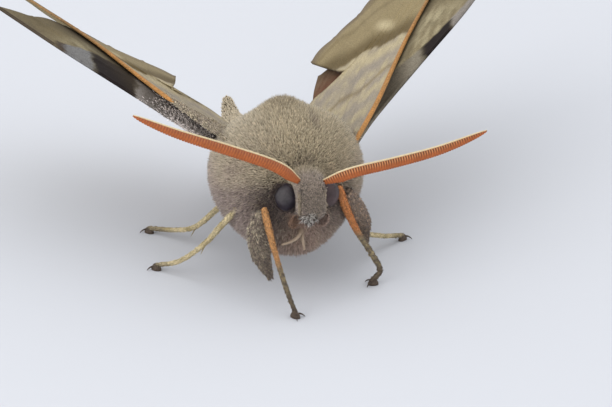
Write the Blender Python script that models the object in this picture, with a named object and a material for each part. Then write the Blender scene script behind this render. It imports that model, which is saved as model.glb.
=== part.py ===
"""Poplar sphinx moth, Laothoe populi, life size, standing on its six feet.

The moth faces -Y, its left side is +X and up is +Z, with the floor at Z = 0.
All sizes below are in millimetres. MM turns them into metres once, when a
surface becomes a mesh. The body nodes reach out to the tips of the coat.
"""
import math

import bmesh
import bpy
import numpy as np

MM = 0.001
GAP = 0.3                      # room between a piece and what it grows from
SIDES = {"right": -1.0, "left": 1.0}

# Head, measured from the floor and from the antenna bases at Y = 0.
ANTENNA_BASE = (0.85, 0.0, 10.9)
EYE_CENTRE = (1.62, 1.5, 9.2)
EYE_RADIUS = 1.1
EYE_RECESS = 0.12              # room round an eye in its socket

# Thorax rings: (Y, bottom, top, half width) of the coat.
THORAX_RINGS = [
    (1.7, 6.6, 10.2, 1.2),
    (2.1, 4.6, 11.6, 2.7),
    (3.0, 3.3, 13.0, 4.2),
    (4.5, 2.6, 13.9, 5.4),
    (6.5, 2.5, 14.4, 6.2),
    (8.6, 2.7, 14.2, 6.4),
    (10.8, 3.1, 13.2, 6.0),
    (12.8, 3.8, 11.9, 5.1),
    (14.2, 5.2, 11.2, 3.7),
    (14.9, 7.2, 10.2, 1.8),
]

CHEST_SLANT = 0.5              # how much straighter the chest's lower left side runs
CREST_RAISE = 0.95             # height of the crest on the thorax's back
CREST_HALF_WIDTH = 1.3
CREST_PLACE = (9.8, 2.6)       # Y of its middle, and its half length

# Abdomen rings along its own line: (Y, Z, half width, half height).
ABDOMEN_RINGS = [
    (12.0, 7.8, 3.6, 3.6),
    (14.4, 7.0, 4.0, 3.9),
    (17.0, 6.1, 3.9, 3.6),
    (19.8, 5.3, 3.4, 3.1),
    (22.6, 4.9, 2.7, 2.4),
    (25.2, 4.8, 2.0, 1.8),
    (27.4, 5.4, 1.1, 1.2),
    (28.8, 6.2, 0.62, 0.8),
]
ABDOMEN_TIP = (29.8, 7.0)

# Head rings: (Y, bottom, top, half width).
HEAD_RINGS = [
    (-0.78, 8.3, 10.0, 0.8),
    (-0.5, 7.9, 10.7, 1.12),
    (0.1, 7.6, 11.2, 1.25),
    (0.9, 7.0, 11.5, 1.6),
    (1.8, 6.4, 11.6, 2.1),
    (2.8, 6.5, 11.5, 2.4),
]

# A wing lies in its own plane: U runs along the front edge, V back across the
# wing and W out of its upper face. Angles are in degrees.
WING_ROOT = {"right": (-5.14, 7.5, 12.1), "left": (6.15, 7.5, 11.2)}
WING_SWEEP = {"right": 60.9, "left": 54.9}
WING_RISE = {"right": 12.5, "left": 17.0}
WING_PITCH = {"right": 33.5, "left": 35.6}
WING_SHEET = 0.5               # thickness of a wing sheet
VEIN_RAISE = 0.16              # height of a vein's ridge over the sheet
VEIN_SPREAD = 0.14             # half width of a ridge, as a share of the room between veins
COSTA_RAISE = 0.22             # extra half thickness of the front edge
WING_ARCH = {"right": -0.6, "left": 0.3}     # rise of the forewing between its edges
WING_LIFT = {"right": 0.27, "left": 0.0}     # upward bow of the front edge about U = 19
FORE_DROOP = {"right": 0.2, "left": 0.5}     # how far the forewing's outer hind part bends down
HIND_DROOP = {"right": 2.5, "left": 0.5}     # the same for the hindwing
HIND_DROP = 1.35               # how far the hindwing lies under the forewing

FORE_COSTA = [(-2.2, 0.5), (1.5, 0.15), (5.2, 0.05), (9.9, 0.33), (14.5, 0.55), (19.3, 0.4),
              (25.0, 0.0), (31.0, 0.1), (38.0, 1.4)]
FORE_DORSUM = [(-2.2, 4.5), (1.0, 6.4), (4.5, 8.4), (8.0, 10.1), (10.8, 10.6), (12.3, 8.9),
               (13.5, 7.5), (15.0, 9.6), (19.1, 14.5)]
FORE_BULGE = 0.6               # how far the outer edge bows outwards
FORE_SCALLOP = 0.55
FORE_VEINS = 7
HIND_COSTA = [(-1.2, 3.4), (5.0, 1.6), (11.0, -1.2), (16.5, -4.0), (20.5, -5.2), (23.8, -6.0)]
HIND_DORSUM = [(-1.2, 4.6), (3.5, 6.6), (7.5, 9.0), (11.5, 11.6), (14.8, 13.1), (18.0, 14.0)]
HIND_BULGE = -0.5
HIND_SCALLOP = 0.5
HIND_VEINS = 6

# Antenna lines from the base: (X out, Y, Z) and the depth of the blade.
ANTENNA_LINE = {
    "right": [(-0.25, 0.6, -0.15), (2.05, -0.4, 2.12), (6.1, -0.3, 4.0), (10.0, 0.3, 5.5),
              (13.45, 1.0, 7.0)],
    "left": [(0.0, 0.6, -0.3), (2.5, -0.2, 0.84), (5.8, -0.2, 1.3), (9.8, -0.2, 1.97),
             (13.95, 0.0, 3.0)],
}
ANTENNA_DEPTH = 0.95           # from the top of the shaft to the tips of the comb
ANTENNA_SHAFT = 0.5            # thickness of the shaft
COMB_TEETH = 17
COMB_TOOTH = (0.27, 0.15)      # half width of a tooth at its root and near its tip

# Legs: points from the coat down to the foot, and the radius at each point.
LEG_LINES = {
    "foreleg_right": [(-3.75, 1.5, 9.0), (-3.3, 0.2, 6.6), (-2.85, -0.5, 4.6), (-2.4, -1.3, 2.3),
                      (-1.9, -2.0, 0.45)],
    "foreleg_left": [(3.0, 2.0, 9.5), (3.6, 1.8, 7.4), (4.8, 1.9, 5.2), (6.05, 2.0, 3.2),
                     (6.6, 2.2, 1.4), (5.95, 2.3, 0.45)],
    "midleg_right": [(-4.6, 4.2, 8.0), (-6.1, 5.6, 5.5), (-7.4, 6.7, 3.4), (-9.2, 8.3, 1.3),
                     (-10.9, 9.8, 0.45)],
    "midleg_left": [(4.6, 4.2, 8.0), (5.5, 5.6, 5.2), (6.5, 7.0, 2.75), (8.5, 8.6, 1.4),
                    (10.9, 10.2, 0.45)],
    "hindleg_right": [(-4.3, 10.6, 5.6), (-5.3, 11.7, 4.0), (-6.7, 13.4, 1.9), (-8.1, 15.2, 1.0),
                      (-9.9, 17.3, 0.45)],
    "hindleg_left": [(4.3, 10.6, 5.6), (5.2, 11.8, 4.0), (6.3, 13.6, 1.9), (7.3, 15.6, 1.0),
                     (8.7, 18.0, 0.45)],
}
LEG_JOINT = {"foreleg": 0.5, "midleg": 0.5, "hindleg": 0.45}
LEG_ROOT_RADIUS = {"foreleg": 0.45, "midleg": 0.5, "hindleg": 0.5}
LEG_TOE_RADIUS = 0.26
FOOT_LENGTH = 0.9
FOOT_WIDTH = 0.6
FOOT_HEIGHT = 0.55
CLAW_LENGTH = 0.85
CLAW_SPREAD = 38.0             # degrees out to either side
SPUR_LENGTH = 1.3

# The furry lobe on each foreleg: its line from knee to free tip.
LOBE_LINES = {
    "right": [(-3.9, 1.5, 8.3), (-4.3, 1.2, 6.4), (-4.1, 0.9, 4.6), (-3.35, 0.2, 2.8)],
    "left": [(3.75, 2.2, 8.9), (4.75, 2.7, 7.0), (5.45, 3.1, 5.4), (5.6, 3.0, 3.9)],
}
LOBE_HALF_WIDTH = [0.45, 0.85, 0.85, 0.15]
LOBE_CORE = 0.55               # width of the core as a share of the lobe
LOBE_FACE = (0.25, -1.0, 0.3)  # the way the lobe's broad side looks
LOBE_LOCKS = 15
LOBE_LOCK_LENGTH = 0.36        # as a share of the lobe's length

# Mouth parts: the two sides of the short tongue, and the palps.
TONGUE_ROOT = (-0.3, 2.0, 6.6)
TONGUE_TIPS = [
    [(-0.75, 0.9, 6.05), (-1.35, 0.75, 5.6), (-2.4, 0.5, 5.45)],
    [(-0.5, 0.9, 5.6), (-0.4, 0.7, 4.7)],
]
PALP_LINE = [(0.9, 2.0, 6.8), (1.08, 0.8, 6.95), (1.1, -0.15, 7.75)]

# Tufts of locks: how many, how long, and their half width at the root. The tail's
# length is a share of the way from its ring to the abdomen's tip.
FACE_TUFT = (9, 0.8, 0.2)
TAIL_TUFT = (10, 1.22, 0.5)

# Coat, sheet and horn colours: (red, green, blue), roughness.
FINISHES = {
    "coat": ((0.33, 0.30, 0.23), 0.95),
    "face": ((0.22, 0.19, 0.16), 0.95),
    "eye": ((0.03, 0.027, 0.03), 0.3),
    "antenna": ((0.55, 0.17, 0.06), 0.7),
    "wing": ((0.36, 0.33, 0.25), 0.85),
    "leg": ((0.30, 0.25, 0.15), 0.8),
}


def clear_scene():
    """Remove every object that the file starts with."""
    for thing in list(bpy.data.objects):
        bpy.data.objects.remove(thing, do_unlink=True)


def finish(name, slot):
    """Make a material of its own for one node, in the slot's colour."""
    colour, roughness = FINISHES[slot]
    material = bpy.data.materials.new(name + "_" + slot)
    material.use_nodes = True
    shader = material.node_tree.nodes["Principled BSDF"]
    shader.inputs["Base Color"].default_value = (*colour, 1.0)
    shader.inputs["Roughness"].default_value = roughness
    shader.inputs["Metallic"].default_value = 0.0
    return material


def smooth_line(points, count):
    """Read count points from a smooth curve through the given points.

    Each span is a cubic whose slope at a point is half the step between that
    point's two neighbours, and the ends use their one step.
    """
    knots = np.asarray(points, float)
    slopes = np.gradient(knots, axis=0)
    places = np.linspace(0.0, len(knots) - 1.0, count)
    first = np.minimum(places.astype(int), len(knots) - 2)
    t = (places - first)[:, None]
    a, b = knots[first], knots[first + 1]
    u, v = slopes[first], slopes[first + 1]
    return ((2 * t ** 3 - 3 * t ** 2 + 1) * a + (t ** 3 - 2 * t ** 2 + t) * u
            + (3 * t ** 2 - 2 * t ** 3) * b + (t ** 3 - t ** 2) * v)


def unit(vectors):
    """Scale vectors to length one."""
    vectors = np.asarray(vectors, float)
    return vectors / np.linalg.norm(vectors, axis=-1, keepdims=True)


def add_piece(name, points, faces, slot):
    """Make one node from points in millimetres, with its faces turned outwards."""
    mesh = bpy.data.meshes.new(name)
    mesh.from_pydata((np.asarray(points, float) * MM).tolist(), [], faces)
    work = bmesh.new()
    work.from_mesh(mesh)
    bmesh.ops.recalc_face_normals(work, faces=work.faces[:])
    work.to_mesh(mesh)
    work.free()
    piece = bpy.data.objects.new(name, mesh)
    bpy.context.scene.collection.objects.link(piece)
    mesh.materials.append(finish(name, slot))
    return piece


def skin_rings(rings, start, end):
    """Join rings of points into a closed body with a point at each end.

    Points are numbered ring by ring, then the two end points. Each four-sided
    field is split into two triangles along the same diagonal.
    """
    rings = np.asarray(rings, float)
    count, around = rings.shape[:2]
    points = np.vstack([rings.reshape(-1, 3), [start], [end]])
    first, last = count * around, count * around + 1
    faces = []
    for ring in range(count - 1):
        for spoke in range(around):
            a = ring * around + spoke
            b = ring * around + (spoke + 1) % around
            faces.append((a, b, b + around))
            faces.append((a, b + around, a + around))
    for spoke in range(around):
        following = (spoke + 1) % around
        faces.append((first, following, spoke))
        faces.append((last, (count - 1) * around + spoke, (count - 1) * around + following))
    return points, faces


def body_rings(stations, around):
    """Rings across Y from (Y, bottom, top, half width), rounder than an ellipse.

    Low on the chest's left side they run straighter, more like a diamond.
    """
    turn = np.linspace(0.0, 2 * math.pi, around, endpoint=False)
    low_left = (np.cos(turn) > 1e-9) & (np.sin(turn) < -1e-9)
    rings = []
    for y, bottom, top, half in stations:
        chest = step_between(y, 2.0, 4.0) * (1 - step_between(y, 8.0, 12.0))
        full = 0.92 + CHEST_SLANT * chest * low_left
        across = np.sign(np.cos(turn)) * np.abs(np.cos(turn)) ** full
        up = np.sign(np.sin(turn)) * np.abs(np.sin(turn)) ** full
        middle, tall = (top + bottom) / 2, (top - bottom) / 2
        crest = CREST_RAISE * np.exp(-((y - CREST_PLACE[0]) / CREST_PLACE[1]) ** 2
                                     - (half * across / CREST_HALF_WIDTH) ** 2)
        rings.append(np.stack([half * across, np.full(around, y),
                               middle + tall * up + crest * np.clip(up, 0.0, 1.0)], -1))
    return np.array(rings)


def tube(line, radii, around, up=(0.0, 0.0, 1.0), flat=1.0):
    """Rings square to a line, radius by radius; flat scales them along their up side."""
    line = np.asarray(line, float)
    ahead = unit(np.gradient(line, axis=0))
    side = unit(np.cross(ahead, np.asarray(up, float)))
    above = np.cross(side, ahead)
    turn = np.linspace(0.0, 2 * math.pi, around, endpoint=False)
    radii = np.asarray(radii, float)[:, None, None]
    return (line[:, None] + radii * np.cos(turn)[None, :, None] * side[:, None]
            + radii * flat * np.sin(turn)[None, :, None] * above[:, None])


def apply_modifiers(piece):
    """Replace the piece's mesh by the one its modifiers make."""
    graph = bpy.context.evaluated_depsgraph_get()
    mesh = bpy.data.meshes.new_from_object(piece.evaluated_get(graph))
    piece.modifiers.clear()
    piece.data = mesh


def keep_largest(piece):
    """Keep the closed surface with the most faces and drop loose scraps."""
    work = bmesh.new()
    work.from_mesh(piece.data)
    left = set(work.faces)
    groups = []
    while left:
        group = set()
        edge = [left.pop()]
        while edge:
            face = edge.pop()
            group.add(face)
            for side in face.edges:
                for other in side.link_faces:
                    if other in left:
                        left.discard(other)
                        edge.append(other)
        groups.append(group)
    largest = max(groups, key=len)
    loose = [face for group in groups if group is not largest for face in group]
    bmesh.ops.delete(work, geom=loose, context="FACES")
    work.to_mesh(piece.data)
    work.free()


def cut(piece, *cutters):
    """Take the cutters away from the piece and keep what stays in one."""
    for cutter in cutters:
        trim = piece.modifiers.new("cut", "BOOLEAN")
        trim.operation = "DIFFERENCE"
        trim.object = cutter
    apply_modifiers(piece)
    keep_largest(piece)


def cutter(name, points, faces):
    """A guide for cuts, which is no part of the moth."""
    guide = add_piece(name, points, faces, "coat")
    guide.hide_render = True
    guide.display_type = "WIRE"
    return guide


def grown(stations, by):
    """Body stations grown outwards by one distance, with the end rings moved too."""
    rows = []
    for number, (y, bottom, top, half) in enumerate(stations):
        shift = -by if number == 0 else by if number == len(stations) - 1 else 0.0
        rows.append((y + shift, bottom - by, top + by, half + by))
    return rows


def body_piece(stations, around, bulge):
    """A body from (Y, bottom, top, half width) rings, its ends bulging out a little."""
    rings = body_rings(stations, around)
    front = rings[0].mean(0) - (0.0, bulge, 0.0)
    back = rings[-1].mean(0) + (0.0, bulge, 0.0)
    return skin_rings(rings, front, back)


def abdomen_skin(by):
    """The abdomen as ellipses across Y that sink and then curl up, grown by one distance."""
    turn = np.linspace(0.0, 2 * math.pi, 20, endpoint=False)
    rings = [np.stack([(half + by) * np.cos(turn), np.full(20, y),
                       z + (tall + by) * np.sin(turn)], -1)
             for y, z, half, tall in ABDOMEN_RINGS]
    front = (0.0, ABDOMEN_RINGS[0][0] - by, ABDOMEN_RINGS[0][1])
    tip = (0.0, ABDOMEN_TIP[0] + by, ABDOMEN_TIP[1])
    return skin_rings(rings, front, tip)


def wing_axes(side):
    """Unit vectors of a wing's U, V and W, from its sweep, rise and pitch."""
    sign = SIDES[side]
    sweep = math.radians(WING_SWEEP[side])
    rise = math.radians(WING_RISE[side])
    pitch = math.radians(WING_PITCH[side])
    along = np.array([sign * math.cos(rise) * math.cos(sweep),
                      math.cos(rise) * math.sin(sweep), math.sin(rise)])
    level = np.array([-sign * math.sin(sweep), math.cos(sweep), 0.0])
    lift = np.cross(along, level) * sign
    back = math.cos(pitch) * level - math.sin(pitch) * lift
    out = np.cross(along, back) * sign
    return along, back, out


def sheet_grid(costa, dorsum, bulge, scallop, veins, steps):
    """Points of a wing sheet in U and V, from its root to its outer edge.

    The front and hind edges are smooth curves, straight lines join them, and
    the outer rows are pushed out by a bow and by one scallop between veins.
    Each vein has a row of its own and one close on either side of it.
    """
    front = smooth_line(costa, steps)
    hind = smooth_line(dorsum, steps)
    edge = hind[-1] - front[-1]
    outward = np.array([edge[1], -edge[0]]) / np.linalg.norm(edge)
    between = np.array([0.0, VEIN_SPREAD, 0.5, 1.0 - VEIN_SPREAD])
    share = np.append((np.arange(veins)[:, None] + between).ravel(), veins) / veins
    bow = bulge * np.sin(math.pi * share)
    notch = scallop * np.abs(np.sin(math.pi * veins * share))
    reach = np.linspace(0.0, 1.0, steps)
    grid = (front[:, None] * (1 - share)[None, :, None] + hind[:, None] * share[None, :, None])
    push = (reach ** 2)[:, None] * bow + (reach ** 12)[:, None] * notch
    return grid + push[..., None] * outward, share, reach


def wing_piece(name, side, grid, lower, upper, level):
    """Close a wing between its lower and upper face, split alike on both."""
    along, back, out = wing_axes(side)
    root = np.array(WING_ROOT[side])
    flat = root + grid[..., :1] * along + grid[..., 1:] * back + level[..., None] * out
    top = flat + upper[..., None] * out
    bottom = flat - lower[..., None] * out
    steps, rows = grid.shape[:2]
    points = np.vstack([top.reshape(-1, 3), bottom.reshape(-1, 3)])
    below = steps * rows
    faces = []
    for i in range(steps - 1):
        for j in range(rows - 1):
            a, b = i * rows + j, i * rows + j + 1
            c, d = b + rows, a + rows
            faces += [(a, b, c), (a, c, d)]
            faces += [(below + a, below + c, below + b), (below + a, below + d, below + c)]
    rim = [(i * rows) for i in range(steps)]
    rim += [(steps - 1) * rows + j for j in range(1, rows)]
    rim += [i * rows + rows - 1 for i in range(steps - 2, -1, -1)]
    rim += [j for j in range(rows - 2, 0, -1)]
    for a, b in zip(rim, rim[1:] + rim[:1]):
        faces += [(a, b, below + b), (a, below + b, below + a)]
    return add_piece(name, points, faces, "wing")


def wing_faces(grid, reach):
    """Half thickness of a sheet below and above its middle.

    Every fourth row is a vein, raised above the sheet by a ridge that sinks
    towards the outer edge, and the front row is thicker both ways.
    """
    lower = np.full(grid.shape[:2], WING_SHEET / 2)
    upper = lower.copy()
    fade = 1.0 - 0.6 * reach
    upper[:, 4::4] += VEIN_RAISE * fade[:, None]
    upper[:, 0] += COSTA_RAISE * fade
    lower[:, 0] += COSTA_RAISE * fade
    return lower, upper


def step_between(value, low, high):
    """Zero below low, one above high, and a smooth rise between them."""
    t = np.clip((np.asarray(value, float) - low) / (high - low), 0.0, 1.0)
    return t * t * (3 - 2 * t)


def wing_level(side, grid, share, reach, fall):
    """Height of a wing's sheet above the forewing's plane, over its grid.

    A shallow arch or hollow from front to hind edge, a bow along the front edge
    about U = 19, and past U = 20 a droop that grows backwards by the fall.
    """
    u, v = grid[..., 0], grid[..., 1]
    arch = WING_ARCH[side] * np.sin(math.pi * share)[None, :] * reach[:, None]
    bow = WING_LIFT[side] * np.exp(-((u - 19.0) / 6.0) ** 2)
    droop = fall * np.clip(v / 10.0, 0.0, 1.3) * step_between(u, 20.0, 26.0)
    return arch + bow - droop


def forewing(side):
    """A forewing: a thin bent sheet with ridges and a thick front edge."""
    grid, share, reach = sheet_grid(FORE_COSTA, FORE_DORSUM, FORE_BULGE, FORE_SCALLOP,
                                    FORE_VEINS, 15)
    level = wing_level(side, grid, share, reach, FORE_DROOP[side])
    return wing_piece("forewing_" + side, side, grid, *wing_faces(grid, reach), level)


def hindwing(side):
    """A hindwing: a thin sheet that lies under the forewing and bends with it."""
    grid, share, reach = sheet_grid(HIND_COSTA, HIND_DORSUM, HIND_BULGE, HIND_SCALLOP,
                                    HIND_VEINS, 11)
    behind = grid[..., 1] - np.interp(grid[..., 0], *np.array(FORE_COSTA).T)
    front = behind[:, :1]
    rise = step_between(behind, front, np.maximum(front + 2.2, 0.4))
    level = wing_level(side, grid, share * 0, reach, HIND_DROOP[side]) * rise - HIND_DROP
    return wing_piece("hindwing_" + side, side, grid, *wing_faces(grid, reach), level)


def antenna_taper(reach):
    """Depth of the antenna along its length: full past the base, then down to its point."""
    return np.minimum(1.0, 0.62 + 1.6 * reach) * np.sqrt(np.clip(1.0 - reach ** 3, 0.02, 1.0))


def lock(name, line, half_widths, up, flat, slot):
    """One flat lock, tooth or spine: four-sided rings along a line that end in a point."""
    line = np.asarray(line, float)
    rings = tube(line, half_widths, 4, up=up, flat=flat)
    points, faces = skin_rings(rings[:-1], line[0], line[-1])
    return add_piece(name, points, faces, slot)


def antenna(side):
    """An antenna: a tapering shaft along the top and a row of comb teeth under it."""
    sign = SIDES[side]
    line = smooth_line(ANTENNA_LINE[side], 15) * (sign, 1.0, 1.0)
    line = line + np.array(ANTENNA_BASE) * (sign, 1.0, 1.0)
    reach = np.linspace(0.0, 1.0, 15)
    taper = antenna_taper(reach)
    rings = tube(line, ANTENNA_SHAFT / 2 * taper, 6)
    ahead = unit(line[-1] - line[-2])
    points, faces = skin_rings(rings, line[0] - 0.1 * ahead, line[-1] + 0.35 * ahead)
    shaft = add_piece("antenna_" + side, points, faces, "antenna")

    slopes = unit(np.gradient(line, axis=0))
    teeth = []
    for number, place in enumerate(np.linspace(0.12, 0.93, COMB_TEETH)):
        middle = np.array([np.interp(place, reach, line[:, axis]) for axis in range(3)])
        slope = unit([np.interp(place, reach, slopes[:, axis]) for axis in range(3)])
        down = unit(np.cross(slope, np.cross(slope, (0.0, 0.0, 1.0))))
        depth = (ANTENNA_DEPTH - ANTENNA_SHAFT / 2) * antenna_taper(place)
        root, near_tip = COMB_TOOTH
        reach_down = np.array([0.0, 0.55, 0.9, 1.0])[:, None] * depth
        widths = np.array([root, (root + near_tip) / 2, near_tip, 0.12]) * antenna_taper(place)
        teeth.append(lock("tooth_%d" % number, middle + reach_down * down, widths, slope, 1.15,
                          "antenna"))
    join(shaft, teeth)
    return shaft


def eye(side):
    """One eye, a round ball of facets seen from outside."""
    sign = SIDES[side]
    centre = np.array(EYE_CENTRE) * (sign, 1.0, 1.0)
    return ball("eye_" + side, centre, EYE_RADIUS)


def ball_points(centre, radius, rows=8, around=14):
    """A ball from rings of latitude, with a point at its outer and inner side."""
    polar = np.linspace(0.0, math.pi, rows + 2)[1:-1]
    turn = np.linspace(0.0, 2 * math.pi, around, endpoint=False)
    rings = np.stack([np.repeat(np.cos(polar)[:, None], around, 1),
                      np.sin(polar)[:, None] * np.cos(turn),
                      np.sin(polar)[:, None] * np.sin(turn)], -1) * radius + centre
    return skin_rings(rings, centre + (radius, 0.0, 0.0), centre - (radius, 0.0, 0.0))


def ball(name, centre, radius):
    """One ball as a node."""
    points, faces = ball_points(centre, radius)
    return add_piece(name, points, faces, "eye")


def leg_parts(name):
    """A leg in two nodes: the shank from the coat, and the tarsus with its foot."""
    kind = name.split("_")[0]
    line = smooth_line(LEG_LINES[name], 17)
    joint = int(round(LEG_JOINT[kind] * 16))
    radii = np.linspace(LEG_ROOT_RADIUS[kind], LEG_TOE_RADIUS, 17)
    ahead = unit(line[joint + 1] - line[joint])
    shank = tube(line[:joint + 1], radii[:joint + 1], 8)
    points, faces = skin_rings(shank, line[0], line[joint])
    upper = add_piece(name + "_shank", points, faces, "leg")
    start = line[joint] + ahead * GAP
    lower_line = np.vstack([[start], line[joint + 1:]])
    lower_radii = np.concatenate([[radii[joint]], radii[joint + 1:]])
    tarsus = tube(lower_line, lower_radii, 8)
    points, faces = skin_rings(tarsus, start, line[-1])
    lower = add_piece(name + "_tarsus", points, faces, "leg")
    return upper, lower, line, joint


def foot(line):
    """A foot pad with a level sole at Z = 0, set along the end of the leg's line."""
    ahead = line[-1] - line[-3]
    ahead = unit(ahead * (1.0, 1.0, 0.0))
    side = np.array([-ahead[1], ahead[0], 0.0])
    toe = line[-1] * (1.0, 1.0, 0.0)
    corners = []
    for height, reach, wide in ((0.0, 0.5, 0.5), (FOOT_HEIGHT, 0.3, 0.3)):
        for along, across in ((-1, -1), (1, -1), (1, 1), (-1, 1)):
            corners.append(toe + ahead * along * reach * FOOT_LENGTH
                           + side * across * wide * FOOT_WIDTH + (0.0, 0.0, height))
    faces = [(0, 1, 2, 3), (7, 6, 5, 4)]
    faces += [(a, (a + 1) % 4, (a + 1) % 4 + 4, a + 4) for a in range(4)]
    return corners, faces


def claws(name, line):
    """Two tapered claws that spread from a foot and bend down to just above the floor."""
    ahead = unit((line[-1] - line[-3]) * (1.0, 1.0, 0.0))
    toe = line[-1] * (1.0, 1.0, 0.0)
    spines = []
    for turn in (-CLAW_SPREAD, CLAW_SPREAD):
        angle = math.radians(turn)
        way = np.array([ahead[0] * math.cos(angle) - ahead[1] * math.sin(angle),
                        ahead[0] * math.sin(angle) + ahead[1] * math.cos(angle), 0.0])
        reach = np.array([0.05, 0.5, 0.85, 1.0])[:, None] * CLAW_LENGTH
        heights = np.array([0.3, 0.34, 0.22, 0.1])[:, None] * (0.0, 0.0, 1.0)
        spines.append(lock("%s_claw_%d" % (name, turn), toe + reach * way + heights,
                           [0.17, 0.15, 0.1, 0.05], (0.0, 0.0, 1.0), 1.0, "leg"))
    return spines


def spur(name, line, joint):
    """One spur at the end of a shank, which points down and back along the leg."""
    ahead = unit(line[joint] - line[joint - 1])
    low = unit(ahead + (0.0, 0.0, -0.9))
    start = line[joint - 1]
    reach = np.array([0.0, 0.5, 0.85, 1.0])[:, None] * SPUR_LENGTH
    return lock(name + "_spur", start + reach * low, [0.22, 0.18, 0.12, 0.05], ahead, 1.0, "leg")


def join(piece, parts):
    """Fuse closed parts into the piece by one union, then remove the parts."""
    group = bpy.data.collections.new(piece.name + "_parts")
    bpy.context.scene.collection.children.link(group)
    for part in parts:
        bpy.context.scene.collection.objects.unlink(part)
        group.objects.link(part)
    fuse = piece.modifiers.new("join", "BOOLEAN")
    fuse.operation = "UNION"
    fuse.operand_type = "COLLECTION"
    fuse.collection = group
    apply_modifiers(piece)
    keep_largest(piece)
    for part in parts:
        bpy.data.objects.remove(part, do_unlink=True)
    bpy.data.collections.remove(group)


def lobe(side):
    """The furry lobe of a foreleg: a slim core and flat locks that overlap down to its tip.

    Each lock starts on the core and lies down along it while it spreads to its
    own share of the lobe's width, and its tip reaches the lobe's outline.
    """
    line = smooth_line(LOBE_LINES[side], 9)
    reach = np.linspace(0.0, 1.0, 9)
    places = np.linspace(0.0, 1.0, len(LOBE_HALF_WIDTH))
    wide = np.interp(reach, places, LOBE_HALF_WIDTH)
    rings = tube(line, LOBE_CORE * wide, 8, up=LOBE_FACE, flat=0.6)
    points, faces = skin_rings(rings, line[0], line[-2])
    pieces = [add_piece("lobe_core_" + side, points, faces, "coat")]
    draw = np.random.default_rng(11)
    face = unit(LOBE_FACE)
    for number in range(LOBE_LOCKS):
        start = 0.04 + 0.62 * number / (LOBE_LOCKS - 1)
        end = min(1.0, start + LOBE_LOCK_LENGTH * (0.9 + 0.2 * draw.random()))
        across = (-1.0, 1.0, 0.0)[number % 3] * (0.75 + 0.25 * draw.random())
        lift = (0.16, 0.16, -0.16)[number % 3] * (0.8 + 0.4 * draw.random())
        steps = np.linspace(start, end, 4)
        middle = np.stack([np.interp(steps, reach, line[:, axis]) for axis in range(3)], -1)
        ahead = unit(middle[-1] - middle[0])
        outward = unit(np.cross(ahead, face))
        spread = np.interp(steps, places, LOBE_HALF_WIDTH) * np.array([0.25, 0.55, 0.75, 0.9])
        path = middle + across * spread[:, None] * outward + lift * face
        pieces.append(lock("lobe_lock_%d" % number, path, [0.22, 0.34, 0.26, 0.08], face, 0.5,
                           "coat"))
    return pieces


def tongue():
    """The short split tongue: two strands from one root."""
    strands = []
    for number, tips in enumerate(TONGUE_TIPS):
        line = smooth_line([TONGUE_ROOT, *tips], 8)
        rings = tube(line, np.linspace(0.3, 0.12, 8), 6, up=(0.0, 1.0, 0.2))
        points, faces = skin_rings(rings, line[0], line[-1])
        strands.append(add_piece("tongue_strand_%d" % number, points, faces, "leg"))
    first = strands[0]
    first.name = "proboscis"
    join(first, strands[1:])
    return first


def palp(side):
    """One palp, a short blunt brush beside the face."""
    line = smooth_line(PALP_LINE, 7) * (SIDES[side], 1.0, 1.0)
    rings = tube(line, [0.3, 0.42, 0.48, 0.5, 0.48, 0.4, 0.25], 8, up=(1.0, 0.0, 0.3))
    points, faces = skin_rings(rings, line[0], line[-1])
    return add_piece("palp_" + side, points, faces, "face")


def face_tuft():
    """Short locks that stand out at the lower end of the face, in a fan of two rows."""
    count, length, half = FACE_TUFT
    draw = np.random.default_rng(5)
    locks = []
    for number in range(count):
        turn = math.radians(-60 + 120 * number / (count - 1))
        tilt = math.radians((12, 42)[number % 2])
        way = np.array([math.sin(turn) * math.cos(tilt), -math.cos(turn) * math.cos(tilt),
                        -math.sin(tilt)])
        start = np.array([0.75 * math.sin(turn), 0.15 - 0.55 * math.cos(turn), 8.15])
        reach = np.array([0.0, 0.4, 0.75, 1.0])[:, None] * length * (0.85 + 0.3 * draw.random())
        locks.append(lock("face_lock_%d" % number, start + reach * way,
                          [half, half, 0.7 * half, 0.06], (0.0, 0.0, 1.0), 0.7, "face"))
    return locks


def tail_tuft():
    """Flat locks round the end of the abdomen, which lie back and close to its tip."""
    count, length, half = TAIL_TUFT
    middle = np.array([0.0, ABDOMEN_RINGS[-3][0], ABDOMEN_RINGS[-3][1]])
    tip = np.array([0.0, *ABDOMEN_TIP])
    locks = []
    for number in range(count):
        turn = 2 * math.pi * number / count
        side = np.array([math.cos(turn), 0.0, math.sin(turn)])
        far = length * (1.0, 0.86)[number % 2]
        ends = [(0.1, 1.35), (0.5, 1.3), (0.8, 0.85), (1.0, 0.4)]
        path = [middle + (tip - middle) * far * along + side * out for along, out in ends]
        locks.append(lock("tail_lock_%d" % number, path, [half, half, 0.7 * half, 0.08], side,
                          0.5, "coat"))
    return locks


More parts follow.
